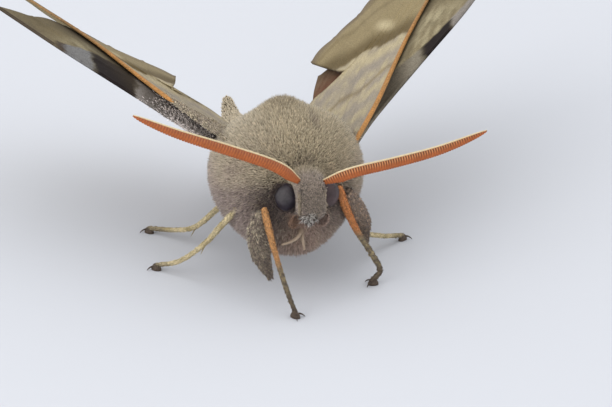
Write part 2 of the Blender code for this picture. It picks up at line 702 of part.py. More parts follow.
def build():
    """Make every node, then cut the roots clear of what they grow from."""
    clear_scene()
    thorax = add_piece("thorax", *body_piece(THORAX_RINGS, 28, 0.15), "coat")
    thorax_room = cutter("thorax_room", *body_piece(grown(THORAX_RINGS, GAP), 28, 0.15))

    abdomen = add_piece("abdomen", *abdomen_skin(0.0), "coat")
    abdomen_room = cutter("abdomen_room", *abdomen_skin(GAP))
    join(abdomen, tail_tuft())
    cut(abdomen, thorax_room)

    head = add_piece("head", *body_piece(HEAD_RINGS, 20, 0.12), "face")
    join(head, face_tuft())
    head_room = cutter("head_room", *body_piece(grown(HEAD_RINGS, GAP), 20, 0.12))
    sockets = []
    for side, sign in SIDES.items():
        eye(side)
        centre = np.array(EYE_CENTRE) * (sign, 1.0, 1.0)
        sockets.append(cutter("socket_" + side, *ball_points(centre, EYE_RADIUS + EYE_RECESS)))
    cut(head, thorax_room, *sockets)
    cut(thorax, *sockets)
    for side in SIDES:
        cut(antenna(side), head_room)
        cut(palp(side), head_room, *sockets)
    cut(tongue(), head_room, thorax_room)

    for side in SIDES:
        cut(forewing(side), thorax_room, abdomen_room)
        cut(hindwing(side), thorax_room, abdomen_room)

    for name in LEG_LINES:
        upper, lower, line, joint = leg_parts(name)
        join(lower, [add_piece(name + "_pad", *foot(line), "leg"), *claws(name, line)])
        if name.startswith("foreleg"):
            join(upper, lobe(name.split("_")[1]))
        else:
            join(upper, [spur(name, line, joint)])
        cut(upper, thorax_room)


def centre_on_floor():
    """Move every node and guide so that the origin lies under the middle of the moth's box."""
    things = [thing for thing in bpy.data.objects if thing.type == "MESH"]
    nodes = [thing for thing in things if not thing.hide_render]
    corners = np.array([corner for thing in nodes for corner in thing.bound_box])
    middle = (corners.min(0) + corners.max(0)) / 2
    for thing in things:
        flat = np.empty(3 * len(thing.data.vertices), np.float32)
        thing.data.vertices.foreach_get("co", flat)
        points = flat.reshape(-1, 3)
        points[:, :2] -= middle[:2].astype(np.float32)
        thing.data.vertices.foreach_set("co", points.ravel())
        thing.data.update()


build()
centre_on_floor()
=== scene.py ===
"""Poplar sphinx moth, Laothoe populi: skin, coat, wings, antennae, eyes and legs.

The moth faces -Y, its left side is +X and up is +Z. Shapes are worked out in
millimetres from the middle of the face, and ORIGIN puts them on the frame.
"""
import math

import bpy
import numpy as np
from mathutils import Matrix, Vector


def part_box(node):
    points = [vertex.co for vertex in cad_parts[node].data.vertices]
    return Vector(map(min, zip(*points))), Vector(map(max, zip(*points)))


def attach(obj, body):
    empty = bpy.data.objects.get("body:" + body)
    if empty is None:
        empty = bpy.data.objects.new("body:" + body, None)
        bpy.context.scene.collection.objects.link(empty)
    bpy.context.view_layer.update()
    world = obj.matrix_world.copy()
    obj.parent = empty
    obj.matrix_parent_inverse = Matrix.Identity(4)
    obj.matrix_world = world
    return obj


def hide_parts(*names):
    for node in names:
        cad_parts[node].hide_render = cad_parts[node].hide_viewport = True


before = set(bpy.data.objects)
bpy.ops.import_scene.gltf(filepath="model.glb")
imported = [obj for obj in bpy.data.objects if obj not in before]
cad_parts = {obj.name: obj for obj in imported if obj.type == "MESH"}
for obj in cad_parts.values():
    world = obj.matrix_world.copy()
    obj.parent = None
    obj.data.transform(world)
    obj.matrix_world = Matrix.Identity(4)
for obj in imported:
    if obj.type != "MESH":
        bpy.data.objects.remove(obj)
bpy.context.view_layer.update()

MM = 0.001
SIDES = {"right": -1.0, "left": 1.0}
TAU = 2 * math.pi

# Eyes give the place of the face on the frame: both lie alike about X = 0.
EYE_CENTRE = (1.62, 1.5, 9.2)
EYE_RADIUS = 1.1
EYE_TALL = 1.08                # how much taller than wide an eye is

# Coat outline, close to that of the solids: Y, bottom, top, half width and coat depth.
BODY_RINGS = [
    (-0.88, 8.02, 8.3, 0.15, 0.2),
    (-0.86, 8.0, 9.0, 0.7, 0.2),
    (-0.80, 7.98, 9.7, 0.94, 0.2),
    (-0.70, 7.96, 10.2, 1.0, 0.2),
    (-0.5, 7.9, 10.65, 1.06, 0.22),
    (0.1, 7.7, 11.2, 1.14, 0.3),
    (0.9, 7.1, 11.5, 1.5, 0.45),
    (1.6, 6.2, 11.8, 2.0, 0.6),
    (2.2, 4.8, 12.2, 2.9, 0.7),
    (3.0, 3.4, 13.0, 4.2, 0.85),
    (4.5, 2.6, 13.9, 5.4, 0.95),
    (6.5, 2.5, 14.4, 6.2, 1.0),
    (8.6, 2.7, 14.2, 6.4, 1.0),
    (10.8, 3.1, 13.2, 6.0, 1.0),
    (12.8, 3.5, 11.9, 5.1, 0.95),
    (14.2, 3.3, 11.1, 4.3, 0.8),
    (15.2, 3.0, 10.4, 4.0, 0.65),
    (17.0, 2.5, 9.7, 3.9, 0.55),
    (19.8, 2.2, 8.4, 3.4, 0.5),
    (22.6, 2.5, 7.3, 2.7, 0.45),
    (25.2, 3.0, 6.6, 2.0, 0.45),
    (27.4, 4.2, 6.6, 1.1, 0.4),
    (29.2, 5.6, 7.3, 0.6, 0.3),
    (29.32, 6.25, 6.65, 0.2, 0.1),
]
CHEST_SLANT = 0.5              # how much straighter the chest's lower left side runs
CREST_RAISE = 0.95
CREST_HALF_WIDTH = 1.3
CREST_PLACE = (9.8, 2.6)       # its middle along Y, and its half length
THINNEST = 0.12                # least half width and half height of the skin

# Wing planes as the solids have them: U along the front edge, V back, W up.
WING_ROOT = {"right": (-5.14, 7.5, 12.1), "left": (6.15, 7.5, 11.2)}
WING_SWEEP = {"right": 60.9, "left": 54.9}
WING_RISE = {"right": 12.5, "left": 17.0}
WING_PITCH = {"right": 33.5, "left": 35.6}
WING_ARCH = {"right": -0.6, "left": 0.3}
WING_LIFT = {"right": 0.27, "left": 0.0}     # upward bow about U = 19
FORE_DROOP = {"right": 0.2, "left": 0.5}     # how far the forewing's outer hind part bends down
HIND_DROOP = {"right": 2.5, "left": 0.5}     # the same for the hindwing
HIND_DROP = 1.33               # below the forewing's plane at its own front edge
HIND_UNDER = 0.36              # the same just behind the forewing's front edge
HIND_BEHIND = 1.1              # the same further back, near the body
# Width of the marked strip along the hindwing's front by U, and its black-brown patch.
HIND_STRIP = {
    "right": [(0.0, 5.0), (16.2, 3.8), (17.3, 2.6), (18.1, 1.65), (19.2, 1.05), (20.0, 0.4), (21.0, 0.1)],
    "left": [(0.0, 2.4), (9.0, 1.8), (12.0, 1.6), (15.6, 1.5), (19.0, 0.7), (23.0, 0.1)],
}
HIND_PATCH = {"right": (9.95, 13.6), "left": (11.7, 15.3)}
HIND_PALE = {"right": 16.4, "left": 21.0}    # U where the pale grey behind the patch ends
HIND_SHADE = {"right": (-2.1, 0.8), "left": (-1.2, 0.5)}   # where its shade starts, how deep
HIND_RUST = (11.5, 10.0)       # U and V of the rust patch
FORE_LINE = 10.4               # U of the forewing's thin dark line, its middle band and spot
FORE_BAND = 15.1
FORE_SPOT = (18.5, 4.7)
FORE_WAVY_LINES = (27.0, 31.0)
# Front and hind edges by U and V, the outer edge's bow and scallops, and spans between veins.
FORE_COSTA = [(-2.2, 0.5), (1.5, 0.15), (5.2, 0.05), (9.9, 0.33), (14.5, 0.55), (19.3, 0.4),
              (25.0, 0.0), (31.0, 0.1), (38.0, 1.4)]
FORE_DORSUM = [(-2.2, 4.5), (1.0, 6.4), (4.5, 8.4), (8.0, 10.1), (10.8, 10.6), (12.3, 8.9),
               (13.5, 7.5), (15.0, 9.6), (19.1, 14.5)]
FORE_BULGE = 0.6
FORE_SCALLOP = 0.55
FORE_VEINS = 7
HIND_COSTA = [(-1.2, 3.4), (5.0, 1.6), (11.0, -1.2), (16.5, -4.0), (20.5, -5.2), (23.8, -6.0)]
HIND_DORSUM = [(-1.2, 4.6), (3.5, 6.6), (7.5, 9.0), (11.5, 11.6), (14.8, 13.1), (18.0, 14.0)]
HIND_BULGE = -0.5
HIND_SCALLOP = 0.5
HIND_VEINS = 6
FORE_FUR = {"right": (9000, 9.5), "left": (1500, 1.6)}   # hairs over the root, and to what U
HIND_FUR = {"right": (8000, 10.5), "left": (1500, 1.6)}
MEMBRANE = 0.07                # half thickness of a wing sheet in the render
VEIN_RAISE = 0.07
VEIN_HALF_WIDTH = 0.12
COSTA_START = {"right": 6.7, "left": -1.4}   # U where the orange front edge comes clear

ANTENNA_BASE = (0.85, 0.0, 10.9)
ANTENNA_LINE = {
    "right": [(-0.25, 0.6, -0.15), (2.05, -0.4, 2.12), (6.1, -0.3, 4.0), (10.0, 0.3, 5.5),
              (13.45, 1.0, 7.0)],
    "left": [(0.0, 0.6, -0.3), (2.5, -0.2, 0.84), (5.8, -0.2, 1.3), (9.8, -0.2, 1.97),
             (13.95, 0.0, 3.0)],
}
ANTENNA_DEPTH = 0.85
COMB_RIBS = 66
# Rings of a comb rib: share of its half thickness along the antenna, and share of its size.
RIB_LAYERS = [(-1.0, 0.8), (-0.7, 0.98), (0.7, 0.98), (1.0, 0.8)]

LEG_LINES = {
    "foreleg_right": [(-3.65, 1.3, 8.6), (-3.4, 0.2, 6.6), (-3.0, -0.5, 4.6), (-2.45, -1.3, 2.3),
                      (-1.9, -2.0, 0.45)],
    "foreleg_left": [(2.75, 1.7, 9.6), (3.35, 1.75, 7.7), (4.3, 1.9, 5.5), (5.55, 2.0, 3.3),
                     (6.5, 2.2, 1.4), (5.95, 2.3, 0.45)],
    "midleg_right": [(-4.6, 4.2, 8.0), (-6.1, 5.6, 5.5), (-7.4, 6.7, 3.4), (-9.2, 8.3, 1.3),
                     (-10.9, 9.8, 0.45)],
    "midleg_left": [(4.6, 4.2, 8.0), (5.5, 5.6, 5.2), (6.5, 7.0, 2.75), (8.5, 8.6, 1.4),
                    (10.9, 10.2, 0.45)],
    "hindleg_right": [(-4.3, 10.6, 5.6), (-5.3, 11.7, 4.0), (-6.7, 13.4, 1.9), (-8.1, 15.2, 1.0),
                      (-9.9, 17.3, 0.45)],
    "hindleg_left": [(4.3, 10.6, 5.6), (5.2, 11.8, 4.0), (6.3, 13.6, 1.9), (7.3, 15.6, 1.0),
                     (8.7, 18.0, 0.45)],
}
SHANK_RADIUS = {"foreleg": 0.25, "midleg": 0.23, "hindleg": 0.22}
LEG_GIRTH = {"foreleg_left": 1.22}     # legs that are thicker than the others
# Rings of a foot pad: height, and share of its width.
PAD_LAYERS = [(0.0, 0.82), (0.04, 1.0), (0.22, 0.95), (0.42, 0.7), (0.55, 0.35)]
CLAW_LENGTH = 0.85
CLAW_SPREAD = 42.0             # degrees to each side
SPUR_LENGTH = 1.3
LOBE_LINES = {
    "right": [(-3.9, 1.5, 8.3), (-4.3, 1.2, 6.4), (-4.0, 0.9, 4.6), (-3.45, 0.2, 2.85)],
    "left": [(3.6, 2.2, 8.9), (4.5, 2.7, 7.0), (5.15, 3.1, 5.4), (5.45, 3.0, 3.9)],
}
LOBE_HALF_WIDTH = [0.45, 0.85, 0.85, 0.15]
LOBE_FACE = (0.25, -1.0, 0.3)  # the way its flat face looks
LOBE_SKIN = 0.78               # how wide the skin under its scales is, as a share
LOBE_SEED = {"right": 64, "left": 62}
TONGUE_ROOT = (-0.3, 2.0, 6.6)
TONGUE_TIPS = [
    [(-0.75, 0.9, 6.05), (-1.35, 0.75, 5.6), (-2.4, 0.5, 5.45)],
    [(-0.5, 0.9, 5.6), (-0.4, 0.7, 4.7)],
]
PALP_LINE = {
    "right": [(1.1, 2.0, 6.8), (1.3, 0.8, 7.1), (1.34, -0.1, 8.0)],
    "left": [(0.9, 2.0, 6.8), (1.15, 0.8, 7.05), (1.2, -0.1, 7.9)],
}
PALP_SWELL = {"right": 0.6, "left": 0.8}

# Colours, linear red, green and blue.
KHAKI = np.array((0.455, 0.382, 0.264))
GREY_BROWN = np.array((0.330, 0.258, 0.208))
FACE_GREY = np.array((0.275, 0.224, 0.195))
UNDER_PINK = np.array((0.345, 0.245, 0.195))
TEMPLE_PINK = np.array((0.340, 0.250, 0.215))
# The chest's right flank low down: temple pink darkened as painted shade.
FLANK_PINK = TEMPLE_PINK * (0.78, 0.82, 0.82)
COOLER = (0.98, 1.0, 1.07)     # what the right side's light does to the coat's colour
CREAM = np.array((0.62, 0.54, 0.38))
DARK_BROWN = np.array((0.055, 0.040, 0.030))
RUST = np.array((0.122, 0.038, 0.015))
ORANGE = np.array((0.46, 0.215, 0.062))
PALP_BROWN = np.array((0.42, 0.225, 0.135))
OLIVE_LEG = np.array((0.285, 0.225, 0.115))
FOOT_BROWN = DARK_BROWN * 1.7
TONGUE_BROWN = (0.33, 0.25, 0.18)
CORE_RUST = (0.41, 0.115, 0.034)
COMB_RUST = (0.42, 0.118, 0.034)
# The eye's painted sheen, where it faces the light.
EYE_PAINTED_SHEEN = (0.050, 0.045, 0.047)
FORE_GREY = np.array((0.285, 0.245, 0.195))
FORE_CREAM = np.array((0.42, 0.352, 0.215))
FORE_KHAKI = np.array((0.265, 0.208, 0.108))
FORE_OLIVE = np.array((0.105, 0.072, 0.027))
FORE_FUR_TINTS = (KHAKI * 1.1, GREY_BROWN)
HIND_CREAM = (0.36, 0.31, 0.19)
HIND_BLACK = np.array((0.012, 0.007, 0.006))
HIND_SHADE_BROWN = (0.035, 0.024, 0.012)
# Hairs over the hindwing's root: grey-brown painted much lighter, as painted light to outweigh the
# forewing's shade there.
HIND_FUR_TINTS = (GREY_BROWN * (2.25, 2.55, 2.95), GREY_BROWN * (1.6, 1.8, 2.1))

# Colours that differ by side, as painted light and shade: lit and shaded copies of one colour.
EYE_TINT = {"right": (0.022, 0.017, 0.024), "left": (0.072, 0.049, 0.050)}
EYE_PAINTED_SHEEN_SHARE = {"right": 1.0, "left": 0.25}
CORE_TOP = {"right": (0.30, 0.085, 0.038), "left": (0.17, 0.055, 0.024)}
COMB_PEACH = {"right": (0.40, 0.15, 0.055), "left": (0.56, 0.25, 0.10)}
PALP_TINT = {"right": PALP_BROWN * (0.68, 0.8, 0.92), "left": PALP_BROWN * (0.85, 1.12, 1.5)}
FORELEG_ORANGE = {"right": ORANGE * (1.22, 1.33, 1.75), "left": ORANGE * (1.3, 1.10, 1.28)}
LOBE_LIGHT = {"right": (0.63, 0.54, 0.38), "left": (0.55, 0.38, 0.25)}
HIND_KHAKI = {"right": (0.165, 0.128, 0.066), "left": (0.20, 0.16, 0.09)}
# The right hindwing's lilac-grey is painted much lighter, as painted light to outweigh the forewing's
# shade.
HIND_LILAC = {"right": (0.62, 0.57, 0.53), "left": (0.205, 0.18, 0.135)}
HIND_GREY = {"right": (0.185, 0.18, 0.175), "left": (0.24, 0.215, 0.19)}
HIND_CREAM_SHARE = {"right": 0.65, "left": 0.9}

# Camera: its height and turn round the moth, and the frame it fills.
CAMERA_TURN = 15.0             # degrees towards the moth's right side
CAMERA_RISE = 24.0
CAMERA_REACH = 230.0           # from the camera to the antenna bases
SCALE_AT_HEAD = 12.4           # pixels of the frame for each millimetre there
FRAME_SIZE = (612, 407)
HEAD_PIXEL = (311.5, 183.0)    # where the middle of the antenna bases shows
AIM = (0.0, 0.0, 10.9)

# Floor and lights. A light has its place and size in metres, its power in watts and its colour.
FLOOR_REACH = 3.0
FLOOR_COLOUR = (0.600, 0.615, 0.652, 1.0)
ROOM_COLOUR = (0.97, 0.98, 1.0, 1.0)
ROOM_STRENGTH = 1.18
LIGHT_AIM = (0.0, 0.0, 0.01)
LIGHTS = {
    "key": ((-0.36, -0.16, 0.27), 0.32, 0.6, (1.0, 0.98, 0.95)),
    "top": ((0.12, 0.10, 0.50), 0.45, 0.14, (0.98, 0.99, 1.0)),
}

# Coat layers: name, from and to what Y, hairs, lean in degrees, stray, thickness, seed and curl.
COAT_LAYERS = [
    ("head_tufts", -5.0, 1.75, 2500, 30.0, 0.8, 0.03, 101, 0.3),
    ("head_bristles", -5.0, 1.75, 24000, 24.0, 0.8, 0.034, 103, 0.0),
    ("thorax_tufts", 1.75, 14.6, 16000, 26.0, 0.8, 0.036, 105, 0.3),
    ("thorax_bristles", 1.75, 14.6, 120000, 15.0, 1.0, 0.043, 107, 0.0),
    ("abdomen_tufts", 13.8, 40.0, 4000, 52.0, 0.4, 0.045, 109, 0.25),
    ("abdomen_bristles", 13.8, 40.0, 26000, 46.0, 0.5, 0.055, 111, 0.0),
]
LOBE_BRISTLES = 6000
LEG_BRISTLES = 1500
PALP_BRISTLES = 1800
COLLAR_BRISTLES = 4200
FRINGE_BRISTLES = 900
FACE_CURLS = 620
TUFTS_IN_PIECE = 19000
BRISTLES_IN_PIECE = 32000
BRISTLE_WAIST = 0.62           # where along a bristle it is widest
TUFT_NARROWING = 0.72          # width of a tuft half way up, as a share of its root's
TUFT_PATCH = 0.003             # side of a hair's square on the map OFBake
WAVES = 5                      # sine waves in each octave of the soft noise


def moth_origin():
    """Where the face's own middle lies on the frame, from the boxes of the two eyes."""
    corners = [np.array(corner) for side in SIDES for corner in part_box("eye_" + side)]
    middle = (np.min(corners, axis=0) + np.max(corners, axis=0)) / 2
    return np.array([middle[0], middle[1] - EYE_CENTRE[1] * MM, 0.0])


ORIGIN = moth_origin()


# Shapes

def unit(vectors):
    """Scale vectors to length one."""
    vectors = np.asarray(vectors, float)
    return vectors / np.maximum(np.linalg.norm(vectors, axis=-1, keepdims=True), 1e-12)


def smooth_line(points, count):
    """Read count points from a smooth curve through the given points.

    Each span is a cubic whose slope at a point is half the step between that
    point's two neighbours, and the ends use their one step.
    """
    knots = np.asarray(points, float)
    slopes = np.gradient(knots, axis=0)
    places = np.linspace(0.0, len(knots) - 1.0, count)
    first = np.minimum(places.astype(int), len(knots) - 2)
    t = (places - first)[:, None]
    a, b = knots[first], knots[first + 1]
    u, v = slopes[first], slopes[first + 1]
    return ((2 * t ** 3 - 3 * t ** 2 + 1) * a + (t ** 3 - 2 * t ** 2 + t) * u
            + (3 * t ** 2 - 2 * t ** 3) * b + (t ** 3 - t ** 2) * v)


def step_between(value, low, high):
    """Zero below low, one above high, and a smooth rise between them."""
    t = np.clip((np.asarray(value, float) - low) / (high - low), 0.0, 1.0)
    return t * t * (3 - 2 * t)


def plateau(value, rise, fall):
    """One between two slopes: up across the span rise, down across the span fall, zero outside."""
    return step_between(value, *rise) * (1 - step_between(value, *fall))


def bell(points, centre, widths):
    """One at the centre, falling as e to the minus square of the distance in widths from it."""
    return np.exp(-(((points - np.array(centre)) / np.array(widths)) ** 2).sum(-1))


def signed_power(value, power):
    """The size of a value to a power, with the value's own sign."""
    return np.sign(value) * np.abs(value) ** power


def mix(a, b, share):
    """Colours a and b mixed by a share for each point."""
    share = np.asarray(share)[..., None]
    return np.asarray(a) * (1 - share) + np.asarray(b) * share


def wave_noise(points, scale, seed, octaves=3):
    """Smooth noise from -1 to 1: sums of sine waves in random directions, finer by octave."""
    draw = np.random.default_rng(seed)
    total = np.zeros(len(points))
    weight = 0.0
    for octave in range(octaves):
        size = 2.0 ** octave
        for _ in range(WAVES):
            way = unit(draw.normal(size=3)) * size * TAU / scale
            total += np.sin(points @ way + draw.random() * TAU) / size
            weight += 0.5 / size
    return np.clip(total / weight / 1.6, -1.0, 1.0)


def grid_faces(rows, around):
    """Four-cornered faces between rings of points."""
    i = np.arange(rows - 1)[:, None]
    j = np.arange(around)[None, :]
    a = i * around + j
    b = i * around + (j + 1) % around
    return np.stack([a, b, b + around, a + around], -1).reshape(-1, 4)


def capped_rings(rings):
    """A closed body from rings, each end drawn in to the middle of its last ring."""
    rows, around = rings.shape[:2]
    points = np.vstack([rings.reshape(-1, 3), rings[0].mean(0), rings[-1].mean(0)])
    j = np.arange(around)
    k = (j + 1) % around
    first = np.stack([np.full(around, rows * around), k, j], -1)
    last = (rows - 1) * around
    end = np.stack([np.full(around, rows * around + 1), last + j, last + k], -1)
    return points, [grid_faces(rows, around), np.vstack([first, end])]


def path_frame(line, up):
    """Ahead, side and above directions along a line, above being nearest to up."""
    ahead = unit(np.gradient(line, axis=0))
    side = unit(np.cross(ahead, np.asarray(up, float)))
    return ahead, side, np.cross(side, ahead)


def tube(line, radii, around, up=(0.0, 0.0, 1.0), flat=1.0):
    """Rings square to a line, radius by radius; flat scales them along their up side.

    They turn so that a body made of them has its faces outwards.
    """
    _, side, above = path_frame(line, up)
    turn = np.linspace(0.0, TAU, around, endpoint=False)[None, :, None]
    radii = np.asarray(radii, float)[:, None, None]
    return (line[:, None] + radii * np.cos(turn) * side[:, None]
            - radii * flat * np.sin(turn) * above[:, None])


def make_piece(name, points, faces, material, fields, uv=None):
    """Make one piece from points in millimetres and arrays of faces of three or four corners.

    fields are values for each point, one number or a colour, that the material
    reads. uv holds a place for each corner of each face, for the map OFBake.
    """
    mesh = bpy.data.meshes.new(name)
    points = np.asarray(points, float).reshape(-1, 3) * MM + ORIGIN
    corners = np.concatenate([group.ravel() for group in faces]).astype(np.int32)
    sizes = np.concatenate([np.full(len(group), group.shape[1]) for group in faces])
    starts = np.concatenate([[0], np.cumsum(sizes)[:-1]]).astype(np.int32)
    mesh.vertices.add(len(points))
    mesh.vertices.foreach_set("co", points.astype(np.float32).ravel())
    mesh.loops.add(len(corners))
    mesh.loops.foreach_set("vertex_index", corners)
    mesh.polygons.add(len(sizes))
    mesh.polygons.foreach_set("loop_start", starts)
    mesh.update(calc_edges=True)
    mesh.polygons.foreach_set("use_smooth", np.full(len(sizes), True))
    for key, values in fields.items():
        values = np.asarray(values, np.float32)
        if values.ndim == 1:
            mesh.attributes.new(key, "FLOAT", "POINT").data.foreach_set("value", values)
        else:
            colour = np.ones((len(points), 4), np.float32)
            colour[:, :3] = values
            layer = mesh.attributes.new(key, "FLOAT_COLOR", "POINT")
            layer.data.foreach_set("color", colour.ravel())
    if uv is not None:
        mesh.uv_layers.new(name="OFBake").data.foreach_set("uv", uv.astype(np.float32).ravel())
    mesh.validate()
    mesh.materials.append(material)
    piece = bpy.data.objects.new(name, mesh)
    bpy.context.scene.collection.objects.link(piece)
    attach(piece, "root")
    return piece


def rings_piece(name, rings, material, tint):
    """Make a closed piece from rings.

    The tint is one colour, a colour for each point of the rings, or a function
    that gives the colours of points.
    """
    points, faces = capped_rings(rings)
    if callable(tint):
        colour = tint(points)
    else:
        colour, _ = capped_rings(np.broadcast_to(tint, rings.shape))
    return make_piece(name, points, faces, material, {"tint": colour})


# Materials

def new_material(name, roughness, sheen=0.0):
    """A Principled material with its constant values on its own sockets, its nodes and its shader."""
    material = bpy.data.materials.new(name)
    material.use_nodes = True
    shader = material.node_tree.nodes["Principled BSDF"]
    shader.inputs["Roughness"].default_value = roughness
    shader.inputs["Specular IOR Level"].default_value = 0.25
    shader.inputs["Sheen Weight"].default_value = sheen
    return material, material.node_tree, shader


def node(tree, kind, **values):
    """Add a node and set its properties, and its inputs by name."""
    made = tree.nodes.new(kind)
    for key, value in values.items():
        if key in made.inputs:
            made.inputs[key].default_value = value
        else:
            setattr(made, key, value)
    return made


def tint_colour(tree):
    """The colour that each point of a piece carries."""
    return node(tree, "ShaderNodeAttribute", attribute_name="tint").outputs["Color"]


def map_range(tree, value, given, wanted):
    """A number moved from the given range to the wanted one, and held within it."""
    made = node(tree, "ShaderNodeMapRange")
    for key, end in zip(("From Min", "From Max", "To Min", "To Max"), given + wanted):
        made.inputs[key].default_value = end
    tree.links.new(value, made.inputs["Value"])
    return made.outputs["Result"]


def speckle(tree, scale, low, high):
    """Fine noise on Object coordinates: as a number from low to high, and as it is, for bump."""
    place = node(tree, "ShaderNodeTexCoord").outputs["Object"]
    noise = node(tree, "ShaderNodeTexNoise", Scale=scale, Detail=3.0, Roughness=0.7)
    tree.links.new(place, noise.inputs["Vector"])
    height = noise.outputs["Fac"]
    return map_range(tree, height, (0.32, 0.68), (low, high)), height


def scaled(tree, colour, factor):
    """A colour times a number."""
    times = node(tree, "ShaderNodeVectorMath", operation="SCALE")
    tree.links.new(colour, times.inputs[0])
    tree.links.new(factor, times.inputs["Scale"])
    return times.outputs["Vector"]


def bump(tree, shader, height, strength, distance):
    """Bump on the shader's normal from a height, as deep as the distance in metres."""
    raised = node(tree, "ShaderNodeBump", Strength=strength, Distance=distance)
    tree.links.new(height, raised.inputs["Height"])
    tree.links.new(raised.outputs["Normal"], shader.inputs["Normal"])


def hair_material():
    """Coat: the tuft's tint, darker at its root as painted shade deep in the coat and lighter at its tip
    as painted light, with faint speckles.
    """
    material, tree, shader = new_material("coat_hair", 0.85, 0.15)
    along = node(tree, "ShaderNodeAttribute", attribute_name="along").outputs["Fac"]
    # Painted shade towards the root and painted light at the tip, by the share along the hair.
    lift = map_range(tree, along, (0.15, 0.95), (0.38, 1.3))
    flecks, _ = speckle(tree, 4500.0, 0.76, 1.2)
    colour = scaled(tree, scaled(tree, tint_colour(tree), lift), flecks)
    tree.links.new(colour, shader.inputs["Base Color"])
    return material


def scaly_material(name, roughness, scale, low, high, strength):
    """Tint broken by fine speckles, with a bump of the same size."""
    material, tree, shader = new_material(name, roughness)
    factor, height = speckle(tree, scale, low, high)
    tree.links.new(scaled(tree, tint_colour(tree), factor), shader.inputs["Base Color"])
    bump(tree, shader, height, strength, 0.00005)
    return material


def eye_material():
    """Dark compound eye: its tint in soft blotches, facets as small cells, and a low shine."""
    material, tree, shader = new_material("eye_facets", 0.38)
    shader.inputs["Specular IOR Level"].default_value = 0.17
    factor, _ = speckle(tree, 900.0, 0.6, 1.5)
    tree.links.new(scaled(tree, tint_colour(tree), factor), shader.inputs["Base Color"])
    place = node(tree, "ShaderNodeTexCoord").outputs["Object"]
    cells = node(tree, "ShaderNodeTexVoronoi", Scale=16000.0)
    tree.links.new(place, cells.inputs["Vector"])
    bump(tree, shader, cells.outputs["Distance"], 0.25, 0.00003)
    return material


COAT_HAIR = hair_material()
COAT_SKIN = scaly_material("coat_skin", 0.95, 6000.0, 0.45, 1.1, 0.4)
WING_SCALES = scaly_material("wing_scales", 0.85, 9000.0, 0.72, 1.25, 0.35)
LEG_SCALES = scaly_material("leg_scales", 0.7, 7000.0, 0.6, 1.3, 0.35)
HORN = scaly_material("antenna_horn", 0.55, 5000.0, 0.85, 1.12, 0.15)
EYE_FACETS = eye_material()


# Body

def body_rings(rows, around):
    """Rings of the skin along the body, inside the coat's tips by its depth.

    Each ring is an ellipse across Y with its sine and cosine raised to a power:
    below one it is fuller, as at the face, and above one more like a diamond, as
    low on the chest's left side. The crest on the back is a bell in X and Y on
    the upper half.
    """
    y, bottom, top, half, depth = smooth_line(BODY_RINGS, rows).T[:, :, None]
    turn = -np.linspace(0.0, TAU, around, endpoint=False)[None, :]
    full = 0.92 - 0.42 * (1 - step_between(y, 0.2, 1.8))
    low_left = (np.cos(turn) > 0) & (np.sin(turn) < 0)
    full = full + CHEST_SLANT * plateau(y, (2.0, 4.0), (8.0, 12.0)) * low_left
    across = signed_power(np.cos(turn), full)
    up = signed_power(np.sin(turn), full)
    half = np.maximum(half - depth, THINNEST)
    middle = (top + bottom) / 2
    tall = np.maximum((top - bottom) / 2 - depth, THINNEST)
    crest = CREST_RAISE * np.exp(-((y - CREST_PLACE[0]) / CREST_PLACE[1]) ** 2
                                 - (half * across / CREST_HALF_WIDTH) ** 2)
    x = half * across
    z = middle + tall * up + crest * np.clip(up, 0.0, 1.0)
    return np.stack([x, np.broadcast_to(y, x.shape), z], -1)


